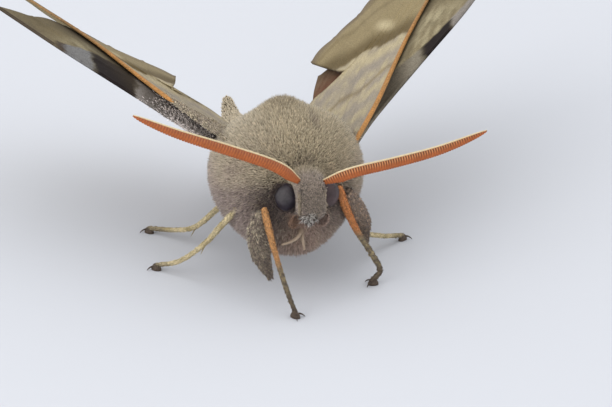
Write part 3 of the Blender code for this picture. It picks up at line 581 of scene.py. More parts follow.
def coat_tint(points):
    """Colour of the coat at points of the body, in millimetres.

    Khaki on the back shades to grey-brown on the sides and a pinkish brown
    underneath, by the share of the body's height at that Y; the back's lighter
    khaki is partly painted light. Pinkish blotches break the sides, the chest's
    right side is painted duller and pinker low down, as shade, and the whole
    right side a little cooler, as painted light. The face is greyer and the
    crest darker. The groove behind the crown and a parting on the back are
    painted darker, as shade, and so is the coat beside and below the eyes,
    where the fur is also dark. The mouth is brown and the abdomen's end pale.
    Soft noise breaks all of it up.
    """
    x, y, z = points.T
    mirrored = np.stack([np.abs(x), y, z], -1)
    rings = np.array(BODY_RINGS)
    bottom, top = (np.interp(y, rings[:, 0], rings[:, column]) for column in (1, 2))
    height = (z - bottom) / (top - bottom)
    wide = wave_noise(points, 5.0, 3)
    low = 1 - step_between(height + 0.06 * wave_noise(points, 4.0, 4), 0.05, 0.36)
    # The back's lighter khaki is partly painted light on top.
    colour = mix(GREY_BROWN, KHAKI, step_between(height + 0.09 * wide, 0.36, 0.82))
    colour = mix(colour, UNDER_PINK, low)
    blotch = step_between(wave_noise(points, 3.2, 6), 0.1, 0.8) * (1 - step_between(height, 0.55, 0.8))
    colour = mix(colour, TEMPLE_PINK, 0.5 * blotch)

    # Painted shade: the chest's right side duller and pinker low down.
    flank = (1 - step_between(z + 0.43 * y + 0.115 * x + 0.25 * wide, 10.2, 11.0)) * (1 - low)
    flank = flank * step_between(-x, 0.5, 3.0) * (1 - step_between(y, 8.0, 12.0))
    colour = mix(colour, FLANK_PINK, 0.6 * flank)
    # Painted light: the right side a little cooler.
    colour = mix(colour, colour * COOLER, step_between(-x, 0.5, 3.5))
    colour = mix(colour, FACE_GREY, 0.85 * (1 - step_between(y, 0.6, 2.0)))

    crest = bell(points, (0.0, 9.8, 0.0), (1.6, 2.2, np.inf)) * step_between(height, 0.7, 0.9)
    colour = mix(colour, KHAKI * (0.52, 0.48, 0.42), 0.75 * crest)
    # Painted shade in the groove behind the crown and in the parting on the back.
    groove = bell(points, (0.0, 2.15, 0.0), (1.1, 0.42, np.inf)) * step_between(z, 10.3, 11.3)
    colour = mix(colour, DARK_BROWN * 2.0, 0.55 * groove)
    parting = bell(points, (1.55, 5.9, 0.0), (0.28, 1.0, np.inf)) * step_between(height, 0.6, 0.8)
    colour = mix(colour, GREY_BROWN * 0.55, 0.7 * parting)
    # Painted shade beside and below the eyes, where the fur is also dark.
    beside_eye = bell(mirrored, (2.7, 2.5, 8.4), (1.25, 1.45, 1.5)) * (1 - step_between(z, 9.5, 10.3))
    below_eye = 0.7 * bell(mirrored, (1.9, 2.0, 7.1), (1.1, 1.2, 1.0))
    colour = mix(colour, DARK_BROWN * (1.3, 1.2, 1.4), 0.85 * np.maximum(beside_eye, below_eye))

    mouth = (1 - step_between(y, 0.9, 2.0)) * (1 - step_between(z, 7.6, 8.0))
    colour = mix(colour, PALP_BROWN * (0.6, 0.55, 0.5), 0.85 * mouth)
    colour = mix(colour, KHAKI * (1.4, 1.42, 1.5), 0.9 * step_between(y, 18.0, 26.0))
    return colour * (1 + 0.12 * wave_noise(points, 1.6, 5))[:, None]


def three_round(side, above, radius):
    """Steps from each of many lines to three points round it, at its own radius."""
    angle = (np.arange(3) * TAU / 3)[None, :, None]
    return (np.cos(angle) * side[:, None] + np.sin(angle) * above[:, None]) * radius[:, None, None]


def hair_mesh(name, points, faces, along, patch, tint, map_place):
    """Many hairs as one piece, from the points of each and the faces of one.

    along is the share of the length at each point of a hair, and patch its
    place within the hair's own small square of the map OFBake.
    """
    count, each = points.shape[:2]
    first = (np.arange(count) * each)[:, None, None]
    faces = [(first + np.array(group)).reshape(-1, len(group[0])) for group in faces]
    corners = np.concatenate([group.ravel() for group in faces])
    place = (map_place[:, None] + (np.array(patch) - 0.5) * TUFT_PATCH).reshape(-1, 2)
    make_piece(name, points, faces, COAT_HAIR,
               {"tint": np.repeat(tint, each, axis=0), "along": np.tile(along, count)},
               place[corners])


def tuft_mesh(name, roots, ways, lie, length, radius, tint, map_place, slot, curl):
    """Many tapered tufts as one piece.

    A tuft starts at its root along its way and bends over towards the lie by
    curl times the square of its share of length. It has a ring of three points
    at its root, a narrower one half way up and a single point at its tip.
    """
    side = unit(np.cross(ways, lie + 1e-4))
    shares = np.array([0.0, 0.5, 1.0])[None, :, None]
    path = (roots[:, None] + length[:, None, None]
            * (shares * ways[:, None] + curl * shares ** 2 * lie[:, None]))
    ring = three_round(side, unit(np.cross(side, ways)), radius)
    points = np.concatenate([path[:, :1] + ring, path[:, 1:2] + TUFT_NARROWING * ring, path[:, 2:]], 1)
    sides = [(0, 3, 4, 1), (1, 4, 5, 2), (2, 5, 3, 0)]
    ends = [(3, 6, 4), (4, 6, 5), (5, 6, 3), (0, 1, 2)]
    patch = [(0, 0), (0.5, 0), (1, 0), (0, 0.5), (0.5, 0.5), (1, 0.5), (0.5, 1)]
    hair_mesh(name, points, [sides, ends], [0.0] * 3 + [0.5] * 3 + [1.0], patch, tint,
              map_place)


def bristle_mesh(name, roots, ways, length, radius, tint, map_place, slot):
    """Many straight bristles as one piece: spindles, widest at BRISTLE_WAIST of their length."""
    side = unit(np.cross(ways, (0.3, 0.5, 0.8)))
    ring = three_round(side, np.cross(side, ways), radius)
    reach = length[:, None] * ways
    points = np.concatenate([roots[:, None], (roots + BRISTLE_WAIST * reach)[:, None] + ring,
                             (roots + reach)[:, None]], 1)
    faces = [(1, 4, 2), (2, 4, 3), (3, 4, 1), (0, 1, 2), (0, 2, 3), (0, 3, 1)]
    patch = [(0.5, 0.5), (0, 0), (0.5, 0), (1, 0), (0.5, 1)]
    hair_mesh(name, points, [faces], [0.0] + [BRISTLE_WAIST] * 3 + [1.0], patch, tint,
              map_place)


def scatter(surface, weight, count, seed):
    """Random places on a grid of points, even by area and weight.

    Returns the point, the outward normal, the direction down the grid's rows
    and the place on the grid from 0 to 1 both ways.
    """
    draw = np.random.default_rng(seed)
    rows, around = surface.shape[:2]
    wrapped = np.concatenate([surface, surface[:, :1]], 1)
    down = wrapped[1:, :-1] - wrapped[:-1, :-1]
    over = wrapped[:-1, 1:] - wrapped[:-1, :-1]
    cross = np.cross(over, down)
    area = np.linalg.norm(cross, axis=-1) * weight[:-1]
    total = np.cumsum(area.ravel())
    picks = np.searchsorted(total, (np.arange(count) + draw.random(count)) / count * total[-1])
    picks = np.minimum(picks, area.size - 1)
    i, j = np.unravel_index(picks, area.shape)
    s, t = draw.random(count), draw.random(count)
    k = j + 1
    point = ((1 - s)[:, None] * ((1 - t)[:, None] * wrapped[i, j] + t[:, None] * wrapped[i, k])
             + s[:, None] * ((1 - t)[:, None] * wrapped[i + 1, j] + t[:, None] * wrapped[i + 1, k]))
    place = np.stack([(j + t) / around, (i + s) / rows], -1)
    shuffle = draw.permutation(count)
    return (point[shuffle], unit(cross[i, j])[shuffle], unit(down[i, j])[shuffle], place[shuffle])


def cover(name, rings, count, lean, length, radius, slot, seed, tint_of, weight=1.0):
    """Bristles over any body of rings, leaning from ring to ring, closer where the weight is more.

    A bristle leans by about lean degrees from the normal, with a random turn to the side.
    """
    roots, normal, down, place = scatter(rings, weight * np.ones(rings.shape[:2]), count, seed)
    draw = np.random.default_rng(seed + 1)
    side = np.cross(normal, down)
    lie = unit(down + 0.3 * draw.normal(size=(count, 1)) * side)
    lean_by = np.radians(lean + 9 * draw.normal(size=count))[:, None]
    ways = normal * np.cos(lean_by) + lie * np.sin(lean_by)
    tone = 1 + 0.28 * draw.normal(size=count).clip(-2, 2)
    lengths = length * (1 + 0.2 * draw.normal(size=count).clip(-2, 2))
    radii = radius * (0.75 + 0.5 * draw.random(count))
    bristle_mesh(name, roots, ways, lengths, radii, tint_of(roots) * tone[:, None], place, slot)


def from_eyes(points):
    """Vectors from points to the middle of the nearer eye, and their lengths."""
    middles = np.array(EYE_CENTRE) * np.where(points[:, :1] < 0, (-1, 1, 1), (1, 1, 1))
    gaps = middles - points
    return gaps, np.linalg.norm(gaps, axis=-1)


def body_skin():
    """One closed skin from face to tail, in the coat's colours made darker as painted shade under the
    hairs.
    """
    # The skin is painted darker than the coat, as shade under the hairs.
    skin = rings_piece("body_skin", body_rings(220, 120), COAT_SKIN,
                       lambda points: coat_tint(points) * 0.6)
    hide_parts("thorax", "abdomen", "head")


def coat_ways(draw, roots, normal, down, rim, to_eye, lean, stray, seed):
    """The way each hair of the coat grows, and the way it bends over.

    It bends back along the body with a random turn to the side, and near an eye
    in over the rim. It grows between the skin's normal and that way, by about
    lean degrees, and a smooth swirl clumps it with its neighbours.
    """
    count = len(roots)
    side = np.cross(normal, down)
    lie = unit(down + stray * draw.normal(size=(count, 1)) * side)
    over_rim = unit(to_eye + (0.0, -0.9, 0.0))
    lie = unit(lie * (1 - rim[:, None]) + rim[:, None] * over_rim)
    lean_by = np.radians(lean + 13 * draw.normal(size=count))[:, None]
    swirl = np.stack([wave_noise(roots, 0.7, seed + way) for way in (2, 3, 4)], -1)
    return unit(normal * np.cos(lean_by) + lie * np.sin(lean_by) + 0.10 * swirl), lie


def coat_hair_tint(draw, roots, seed):
    """The coat's colour for each hair, lighter and darker by clumps and by chance.

    Chance does most on the face and least on the abdomen. One hair in ten is
    mixed with cream.
    """
    y = roots[:, 1]
    clump = 0.13 * wave_noise(roots, 0.32, seed + 5, 2)
    spread = 0.26 - 0.2 * step_between(y, 15.0, 22.0) + 0.12 * (1 - step_between(y, 0.3, 1.5))
    tone = 1 + clump + spread * draw.normal(size=len(roots)).clip(-1.8, 2.2)
    tint = coat_tint(roots) * tone[:, None]
    pale = draw.random(len(roots)) < 0.10
    tint[pale] = mix(tint[pale], CREAM, 0.4)
    return tint


def coat(name, y_low, y_high, count, lean, stray, thickness, seed, curl):
    """One layer of the coat between two places along Y, in pieces of even size.

    The hairs are as long as the coat is deep, and shorter round the eyes, most
    of all above and below them. With a curl they are bent tufts, at zero bristles.
    """
    rings = body_rings(320, 200)
    middle_y = rings[..., 1]
    weight = np.where((middle_y >= y_low) & (middle_y < y_high), 1.0, 0.0)
    roots, normal, down, place = scatter(rings, weight, count, seed)
    to_eye, gap = from_eyes(roots)
    keep = gap > EYE_RADIUS - 0.08
    roots, normal, down, place, to_eye, gap = (
        values[keep] for values in (roots, normal, down, place, to_eye, gap))
    total = len(roots)
    draw = np.random.default_rng(seed + 1)
    rim = np.exp(-((gap - EYE_RADIUS) / 0.4) ** 2)
    ways, lie = coat_ways(draw, roots, normal, down, rim, to_eye, lean, stray, seed)
    depth = np.interp(roots[:, 1], *np.array(BODY_RINGS)[:, (0, 4)].T)
    length = depth * (1.0 + 0.13 * draw.normal(size=total).clip(-2, 2))
    upright = rim * (to_eye[:, 2] / gap) ** 2
    length = length * (1 - 0.3 * rim - 0.4 * upright)
    radius = thickness * (0.75 + 0.5 * draw.random(total))
    tint = coat_hair_tint(draw, roots, seed)
    most = TUFTS_IN_PIECE if curl else BRISTLES_IN_PIECE
    for number, part in enumerate(np.array_split(np.arange(total), math.ceil(total / most))):
        title = "%s_%d" % (name, number + 1)
        rest = (length[part], radius[part], tint[part], place[part], "body_fur")
        if curl:
            tuft_mesh(title, roots[part], ways[part], lie[part], *rest, curl)
        else:
            bristle_mesh(title, roots[part], ways[part], *rest)


# Head

def eye(side):
    """One eye: a near black ball, a little taller than wide, with painted sheen.

    Its points go by the angle from the top and the turn about Z. The painted
    sheen grows towards the place that faces outwards, forwards and up, towards
    the light.
    """
    centre = np.array(EYE_CENTRE) * (SIDES[side], 1.0, 1.0)
    polar = np.linspace(0.02, math.pi - 0.02, 40)[:, None]
    turn = np.linspace(0.0, TAU, 64, endpoint=False)[None, ::-1]
    ball = np.stack([np.sin(polar) * np.cos(turn), np.sin(polar) * np.sin(turn),
                     np.cos(polar) * np.ones_like(turn)], -1)

    def painted_sheen(points):
        """Colour of the eye at points: painted sheen where they face its brightest direction."""
        # Painted sheen: lighter where the eye faces the light.
        facing = unit(points - centre) @ unit(np.array((0.55 * SIDES[side], -0.66, 0.46)))
        sheen_mask = step_between(facing + 0.07 * wave_noise(points, 0.5, 9), 0.55, 1.0)
        return mix(EYE_TINT[side], EYE_PAINTED_SHEEN, sheen_mask * EYE_PAINTED_SHEEN_SHARE[side])

    piece = rings_piece("eye_ball_" + side, centre + EYE_RADIUS * ball * (1.0, 1.0, EYE_TALL),
                        EYE_FACETS, painted_sheen)
    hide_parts("eye_" + side)


def eye_collar(side):
    """Dark hairs rooted round the back of an eye, which lean forwards over its rim; their darkness is
    partly painted shade.

    They ring the eye's outward line on its outer, upper and lower side, the
    longest on the outer one, and the side towards the face stays open. Beside
    the left foreleg's root they are cut short.
    """
    draw = np.random.default_rng(12)
    sign = SIDES[side]
    axis = unit(np.array((0.5, -0.84, 0.22)))
    outer = unit(np.cross(axis, (0.0, 0.0, 1.0)))
    high = np.cross(outer, axis)
    outer = np.sign(outer[0]) * outer
    count = COLLAR_BRISTLES
    turn = draw.uniform(-2.3, 2.3, count)
    polar = np.radians(draw.uniform(66.0, 104.0, count) + 8.0 * np.cos(turn))
    radial = np.cos(turn)[:, None] * outer + np.sin(turn)[:, None] * high
    spots = np.cos(polar)[:, None] * axis + np.sin(polar)[:, None] * radial
    roots = np.array(EYE_CENTRE) + (EYE_RADIUS - 0.06) * spots
    ways = unit(0.5 * spots + 0.6 * axis - 0.55 * radial + 0.3 * draw.normal(size=(count, 3)))
    length = 0.62 * draw.uniform(0.4, 1.3, count) * step_between(polar, 1.05, 1.4)
    length = length * (0.35 + 0.65 * np.abs(np.cos(turn)))
    length = length * np.where((side == "left") & (roots[:, 0] > 2.3), 0.3, 1.0)
    # The collar's dark tint is partly painted shade round the eye, partly dark fur.
    tint = mix(DARK_BROWN * (1.0, 0.95, 1.15), GREY_BROWN * 0.55, draw.random(count) ** 3)
    place = np.stack([0.5 + 0.2 * sign + 0.02 * spots[:, 0], 0.1 + 0.02 * spots[:, 2]], -1)
    bristle_mesh("eye_collar_" + side, roots * (sign, 1, 1), ways * (sign, 1, 1), length + 0.05,
                 np.full(count, 0.038), tint, place, "face_fur")


def antenna_taper(reach):
    """Depth of the antenna along its length, as a share.

    It rises evenly from a third at the base, is soon full, and falls to its
    point as the root of one less the fourth power of the reach.
    """
    return np.minimum(1.0, 0.34 + 5.5 * reach) * np.sqrt(np.clip(1.0 - reach ** 4, 0.02, 1.0))


def antenna_path(side, count):
    """Evenly spaced points, directions ahead and above, and taper, from the head to the tip."""
    mirror = (SIDES[side], 1.0, 1.0)
    line = smooth_line(ANTENNA_LINE[side], count) * mirror + np.array(ANTENNA_BASE) * mirror
    run = np.append(0.0, np.cumsum(np.linalg.norm(np.diff(line, axis=0), axis=1)))
    even = np.linspace(0.0, run[-1], count)
    line = np.stack([np.interp(even, run, line[:, axis]) for axis in range(3)], -1)
    ahead, _, above = path_frame(line, (0.0, 0.0, 1.0))
    return line, ahead, above, antenna_taper(np.linspace(0.0, 1.0, count))


def comb(side, line, ahead):
    """The comb of an antenna: many thin rust ribs, peach-coloured at the top.

    Each rib is a flat oval disc with a rounded rim, set square to the antenna
    and thicker below. Its size follows the antenna's taper.
    """
    places = np.linspace(0.035, 0.985, COMB_RIBS)
    reach = np.linspace(0.0, 1.0, len(line))
    at, way = (np.stack([np.interp(places, reach, values[:, axis]) for axis in range(3)], -1)
               for values in (line, ahead))
    way = unit(way)
    side_way = unit(np.cross(way, (0.0, 0.0, 1.0)))
    up_way = np.cross(side_way, way)
    size = antenna_taper(places)
    centre = at - up_way * (0.235 * size)[:, None]
    turn = np.linspace(0.0, TAU, 14, endpoint=False)[None, :, None]
    thick = (0.078 + 0.034 * np.sin(turn)) * way[:, None]
    oval = 0.225 * np.cos(turn) * side_way[:, None] - 0.49 * np.sin(turn) * up_way[:, None]
    rings = np.stack([centre[:, None] + along * thick + wide * size[:, None, None] * oval
                      for along, wide in RIB_LAYERS], 1)
    points = np.concatenate([rings.reshape(COMB_RIBS, -1, 3), rings.mean(2)[:, (0, -1)]], 1)
    one, (walls, caps) = capped_rings(rings[0])
    step = (np.arange(COMB_RIBS) * len(one))[:, None, None]
    faces = [(walls + step).reshape(-1, 4), (caps + step).reshape(-1, 3)]
    high = (points[..., 2] - rings[..., 2].mean((1, 2))[:, None]) / ANTENNA_DEPTH
    tone = 1 + 0.05 * np.sin(places * 40.0)
    tint = mix(COMB_RUST, COMB_PEACH[side], step_between(high, 0.02, 0.34)) * tone[:, None, None]
    make_piece("antenna_comb_" + side, points, faces, HORN,
               {"tint": tint.reshape(-1, 3)})


def antenna(side):
    """An antenna: a cream shaft along the top, over the comb and a core that is dark at its top."""
    line, ahead, above, taper = antenna_path(side, 120)
    shaft = tube(line + above * (0.21 * taper)[:, None], 0.05 * taper + 0.032, 14)
    stem = rings_piece("antenna_shaft_" + side, shaft, HORN, CREAM * (1.05, 0.98, 0.86))
    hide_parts("antenna_" + side)

    core_line = (line - above * (0.22 * taper)[:, None])[2:]
    core = tube(core_line, 0.20 * taper[2:], 14, flat=2.1)
    high = core[..., 2] - core_line[:, None, 2]
    rings_piece("antenna_core_" + side, core, HORN,
                mix(CORE_RUST, CORE_TOP[side], step_between(high, -0.15, 0.12)))
    comb(side, line, ahead)


def palp(side):
    """One palp: a blunt brush in short scales, round a curved line.

    Its radius grows over the first third of its length, then falls to the tip in
    two straight spans. It is brown inside and greyer on its outer side.
    """
    line = smooth_line(PALP_LINE[side], 24) * (SIDES[side], 1.0, 1.0)
    swell = np.interp(np.linspace(0, 1, 24), [0, 0.3, 0.75, 1.0], [0.25, 0.34, 0.27, 0.1])
    rings = tube(line, swell * PALP_SWELL[side], 20, up=(1.0, 0.0, 0.3))

    def tint_of(points):
        """Brown near the middle of the face and greyer outside."""
        return mix(PALP_TINT[side], GREY_BROWN * 0.7, step_between(np.abs(points[:, 0]), 1.45, 1.8))

    piece = rings_piece("palp_skin_" + side, rings, COAT_SKIN, tint_of)
    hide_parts("palp_" + side)
    cover("palp_coat_" + side, rings, count=PALP_BRISTLES, lean=45.0, length=0.26, radius=0.026,
          slot="face_fur", seed=31, tint_of=tint_of)


def tongue():
    """The short split tongue: two curved brownish strands that narrow evenly to their tips."""
    for number, tips in enumerate(TONGUE_TIPS):
        line = smooth_line([TONGUE_ROOT, *tips], 40)
        rings = tube(line, np.linspace(0.19, 0.1, 40), 12, up=(0, 1, 0.2))
        strand = rings_piece("tongue_strand_%d" % (number + 1), rings, HORN, TONGUE_BROWN)
        if number == 0:
            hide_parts("proboscis")


def face_tuft():
    """A small cluster of curls at the lower end of the face, half of them whitish and half dark.

    Their roots fill an oval on its lower edge, and they grow forwards and away
    from its middle, with much chance in each one's way.
    """
    draw = np.random.default_rng(5)
    count = FACE_CURLS
    turn = draw.uniform(0.0, TAU, count)
    reach = np.sqrt(draw.random(count))
    across, up = reach * np.cos(turn), reach * np.sin(turn)
    x = -0.36 + 0.56 * across
    roots = np.stack([x, -0.98 + 0.25 * across ** 2 + 0.15 * (1 - up), 8.1 + 0.42 * up], -1)
    spread = draw.normal(size=(count, 3)) * (0.9, 0.35, 0.9)
    ways = unit(np.stack([0.3 * across, np.full(count, -0.9), 0.5 * up - 0.1], -1) + spread)
    length = draw.uniform(0.22, 0.40, count)
    white = draw.random(count) < 0.5
    tint = np.where(white[:, None], (0.85, 0.80, 0.74), DARK_BROWN * 1.5)
    tint = tint * draw.uniform(0.7, 1.1, count)[:, None]
    place = np.stack([0.75 + 0.02 * x, 0.02 + 0.01 * reach], -1)
    tuft_mesh("face_tuft", roots, ways, unit(draw.normal(size=(count, 3))), length,
              np.where(white, 0.036, 0.04), tint, place, "face_fur", curl=0.8)


def face_fringe():
    """A row of short hairs down each side of the face, palest half way, over the eyes' edge."""
    draw = np.random.default_rng(7)
    count = FRINGE_BRISTLES
    right = np.arange(count) < count / 2
    sign = np.where(right, -1.0, 1.0)
    z = draw.uniform(8.35, 10.6, count)
    x = sign * (np.where(right, 1.0, 0.9) + 0.04 * draw.normal(size=count))
    y = np.where(right, -0.38, -0.42) + 0.12 * draw.normal(size=count)
    way = np.where(right[:, None], (-0.6, -0.6, 0.3), (0.1, -0.6, 0.3))
    ways = unit(way + 0.3 * draw.normal(size=(count, 3)))
    pale = plateau(z, (7.9, 8.8), (10.0, 10.7))
    tint = mix(FACE_GREY * 0.9, CREAM * (0.92, 0.86, 0.84), 0.55 * pale)
    tint = tint * draw.uniform(0.75, 1.15, count)[:, None]
    place = np.stack([0.5 + 0.25 * sign, 0.02 + z / 1000], -1)
    bristle_mesh("face_fringe", np.stack([x, y, z], -1), ways, draw.uniform(0.22, 0.36, count),
                 np.full(count, 0.036), tint, place, "face_fur")


# Legs

def leg_radii(name, count):
    """Radius along a leg: a full shank, narrower at the joint, then ten low tarsal swellings.

    It goes in straight spans, and the swellings are the square of a sine.
    """
    reach = np.linspace(0.0, 1.0, count)
    top = SHANK_RADIUS[name.split("_")[0]]
    radius = np.interp(reach, [0.0, 0.012, 0.04, 0.2, 0.46, 0.52, 0.98, 1.0],
                       [0.09, 0.2, top, top, 0.19, 0.17, 0.15, 0.14])
    tarsal = step_between(reach, 0.5, 0.54)
    swelling = 1 + 0.13 * tarsal * np.sin((reach - 0.5) * TAU * 10) ** 2
    return radius * LEG_GIRTH.get(name, 1.0) * swelling


def foreleg_tint(name, points):
    """Colour of foreleg points: orange above the joint, blotched olive below, dark feet."""
    z = points[:, 2]
    joint = LEG_LINES[name][2][2]
    blotch = step_between(wave_noise(points, 0.45, 24), -0.3, 0.7)
    olive = mix(OLIVE_LEG * (0.62, 0.6, 0.8), OLIVE_LEG * 1.4, blotch)
    orange = FORELEG_ORANGE[name.split("_")[1]]
    colour = mix(olive, orange, step_between(z, joint - 0.9, joint + 0.4))
    return mix(colour, FOOT_BROWN, 0.85 * (1 - step_between(z, 0.2, 3.4)))


def backleg_tint(points):
    """Colour of middle and hind leg points: cream with olive blotches, and dark feet."""
    pale = step_between(wave_noise(points, 1.3, 22), -0.7, 0.4)
    low = 1 - step_between(points[:, 2] + 0.15 * wave_noise(points, 0.8, 21), 0.3, 1.2)
    return mix(mix(OLIVE_LEG * 1.7, CREAM * (1.12, 1.08, 0.93), pale), FOOT_BROWN, 0.85 * low)


def claws(name, toe, ahead, side):
    """Two thin claws, each a narrowing tube that spreads from a foot and bends to the floor."""
    for number, turn in enumerate((-CLAW_SPREAD, CLAW_SPREAD)):
        angle = math.radians(turn)
        way = CLAW_LENGTH * (ahead * math.cos(angle) + side * math.sin(angle))
        path = smooth_line([toe + (0, 0, 0.3), toe + 0.45 * way + (0, 0, 0.36),
                            toe + 0.8 * way + (0, 0, 0.2), toe + 0.95 * way + (0, 0, 0.05)], 16)
        rings_piece("%s_claw_%d" % (name, number + 1), tube(path, np.linspace(0.11, 0.02, 16), 8),
                    LEG_SCALES, DARK_BROWN * 1.2)


def foot_pad(name, toe, ahead, side):
    """A small dark pad under the last joint: ovals that narrow upwards from a flat sole."""
    turn = np.linspace(0.0, TAU, 20, endpoint=False)[:, None]
    oval = 0.47 * np.cos(turn) * ahead + 0.30 * np.sin(turn) * side
    rings = np.array([toe + (0, 0, height) + wide * oval for height, wide in PAD_LAYERS])
    rings_piece(name + "_pad", rings, LEG_SCALES, DARK_BROWN * 1.5)


def spur(name, root, ahead):
    """A thin straight spur at a joint, which points down and along the leg."""
    way = SPUR_LENGTH * unit(ahead + (0.0, 0.0, -0.9))
    path = smooth_line([root, root + 0.5 * way, root + way], 14)
    rings_piece(name + "_spur", tube(path, np.linspace(0.1, 0.015, 14), 8, up=ahead),
                LEG_SCALES, OLIVE_LEG * 1.2)


def leg(name):
    """A leg as one skin from the coat to the foot, with flat scales, claws and spurs."""
    line = smooth_line(LEG_LINES[name], 90)
    rings = tube(line, leg_radii(name, 90), 18)
    fore = name.startswith("foreleg")

    def tint_of(points):
        """The leg's own colour, broken by soft noise."""
        colour = foreleg_tint(name, points) if fore else backleg_tint(points)
        return colour * (1 + 0.2 * wave_noise(points, 0.5, 23))[:, None]

    skin = rings_piece(name + "_skin", rings, LEG_SCALES, tint_of)
    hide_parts(name + "_shank", name + "_tarsus")
    cover(name + "_scales", rings, count=LEG_BRISTLES, lean=78.0, length=0.17, radius=0.035,
          slot="leg_scales", seed=40 + list(LEG_LINES).index(name), tint_of=tint_of)
    level = (1.0, 1.0, 0.0)
    toe = line[-1] * level
    ahead = unit((line[-1] - line[-6]) * level)
    side = np.cross((0.0, 0.0, 1.0), ahead)
    claws(name, toe, ahead, side)
    foot_pad(name, toe, ahead, side)
    if not fore:
        spur(name, line[43], unit(line[45] - line[42]))


def lobe(side):
    """The furry lobe of a foreleg: a slim leaf under long scales that lie down to its tip.

    Its rings are flat ovals, LOBE_SKIN times as wide as the lobe with its scales.
    """
    line = smooth_line(LOBE_LINES[side], 50)
    places = np.linspace(0.0, 1.0, len(LOBE_HALF_WIDTH))
    wide = np.interp(np.linspace(0.0, 1.0, 50), places, LOBE_HALF_WIDTH)
    rings = tube(line, LOBE_SKIN * wide, 28, up=LOBE_FACE, flat=0.5)
    upper, lowest = LOBE_LINES[side][1][2], LOBE_LINES[side][3][2]

    def tint_of(points):
        """Light and grey-brown patches, darker towards the lower tip."""
        patches = step_between(wave_noise(points, 0.24, 61), -0.2, 0.6)
        colour = mix(GREY_BROWN * 0.7, LOBE_LIGHT[side], patches)
        return mix(colour, DARK_BROWN * 2.4, np.interp(points[:, 2], [lowest, upper], [0.75, 0.0]))

    # The lobe's skin is painted darker than its scales, as shade under them.
    rings_piece("foreleg_%s_lobe" % side, rings, COAT_SKIN,
                lambda points: tint_of(points) * 0.5)
    cover("foreleg_%s_lobe_coat" % side, rings, count=LOBE_BRISTLES, lean=64.0, length=0.38,
          radius=0.045, slot="body_fur", seed=LOBE_SEED[side], tint_of=tint_of)


# Wings

def wing_axes(side):
    """Unit vectors of a wing's U, V and W.

    U runs out from the body, turned back by the sweep and up by the rise. V runs
    back, square to U, and the pitch tips it down. W stands on both, and looks up.
    """
    sign = SIDES[side]
    sweep = math.radians(WING_SWEEP[side])
    rise = math.radians(WING_RISE[side])
    pitch = math.radians(WING_PITCH[side])
    along = np.array([sign * math.cos(rise) * math.cos(sweep),
                      math.cos(rise) * math.sin(sweep), math.sin(rise)])
    level = np.array([-sign * math.sin(sweep), math.cos(sweep), 0.0])
    lift = np.cross(along, level) * sign
    back = math.cos(pitch) * level - math.sin(pitch) * lift
    out = np.cross(along, back) * sign
    return along, back, out


def on_wing(side, grid, level):
    """Points in millimetres from places U and V on a wing's plane and heights above it."""
    along, back, out = wing_axes(side)
    return (np.array(WING_ROOT[side]) + grid[..., :1] * along + grid[..., 1:] * back
            + level[..., None] * out)


def sheet_grid(costa, dorsum, bulge, scallop, veins, steps, rows):
    """Points of a wing sheet in U and V, from its root to its outer edge.

    The front and hind edges are smooth curves, and straight lines join them. A
    bow that grows as the square of the way out pushes them on, and so does one
    scallop between veins, which grows as its twelfth power.
    """
    front = smooth_line(costa, steps)
    hind = smooth_line(dorsum, steps)
    edge = hind[-1] - front[-1]
    outward = np.array([edge[1], -edge[0]]) / np.linalg.norm(edge)
    share = np.linspace(0.0, 1.0, rows)
    bow = bulge * np.sin(math.pi * share)
    notch = scallop * np.abs(np.sin(math.pi * veins * share))
    reach = np.linspace(0.0, 1.0, steps)
    grid = front[:, None] * (1 - share)[None, :, None] + hind[:, None] * share[None, :, None]
    push = (reach ** 2)[:, None] * bow + (reach ** 12)[:, None] * notch
    return grid + push[..., None] * outward, share, reach


def vein_ridges(grid, share, veins):
    """Height of the veins over the sheet: a bell across each, from its distance in millimetres."""
    width = np.linalg.norm(grid[:, -1] - grid[:, 0], axis=-1)[:, None]
    nearest = np.round(share * veins) / veins
    away = np.abs(share - nearest)[None, :] * width
    return VEIN_RAISE * np.exp(-(away / VEIN_HALF_WIDTH) ** 2)


def wing_level(side, grid, share, reach, fall):
    """Height of a wing's sheet above the forewing's plane, over its grid.

    An arch or hollow from front to hind edge, half a sine wave that grows on the
    way out; a bow, which is a bell about U = 19; and past U = 20 a droop by the
    fall, which grows backwards.
    """
    u, v = grid[..., 0], grid[..., 1]
    arch = WING_ARCH[side] * np.sin(math.pi * share)[None, :] * reach[:, None]
    bow = WING_LIFT[side] * np.exp(-((u - 19.0) / 6.0) ** 2)
    droop = fall * np.clip(v / 10.0, 0.0, 1.3) * step_between(u, 20.0, 26.0)
    return arch + bow - droop


def wing_sheet(name, side, grid, level, share, veins, tint, node_name):
    """Close a wing between its lower and upper face, with veins raised on both.

    A ring of points runs back along one face and returns along the other. It
    starts with the upper face at the right and the lower one at the left, so
    that both wings turn outwards, and the face it starts with is painted a
    tenth darker, as shade.
    """
    middle = on_wing(side, grid, level)
    thick = (MEMBRANE + vein_ridges(grid, share, veins))[..., None] * wing_axes(side)[2]
    thick = thick * -SIDES[side]
    ring = np.concatenate([middle + thick, (middle - thick)[:, ::-1]], 1)
    # The face that comes first is painted a tenth darker, as shade.
    colour = np.concatenate([tint * 0.9, tint[:, ::-1]], 1)
    steps, around = ring.shape[:2]
    j = np.arange(around // 2 - 1)
    end = np.stack([j, j + 1, around - 2 - j, around - 1 - j], -1)
    faces = [grid_faces(steps, around), end[:, ::-1], end + (steps - 1) * around]
    piece = make_piece(name, ring, faces, WING_SCALES,
                       {"tint": colour.reshape(-1, 3)})
    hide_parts(node_name)
    return ring


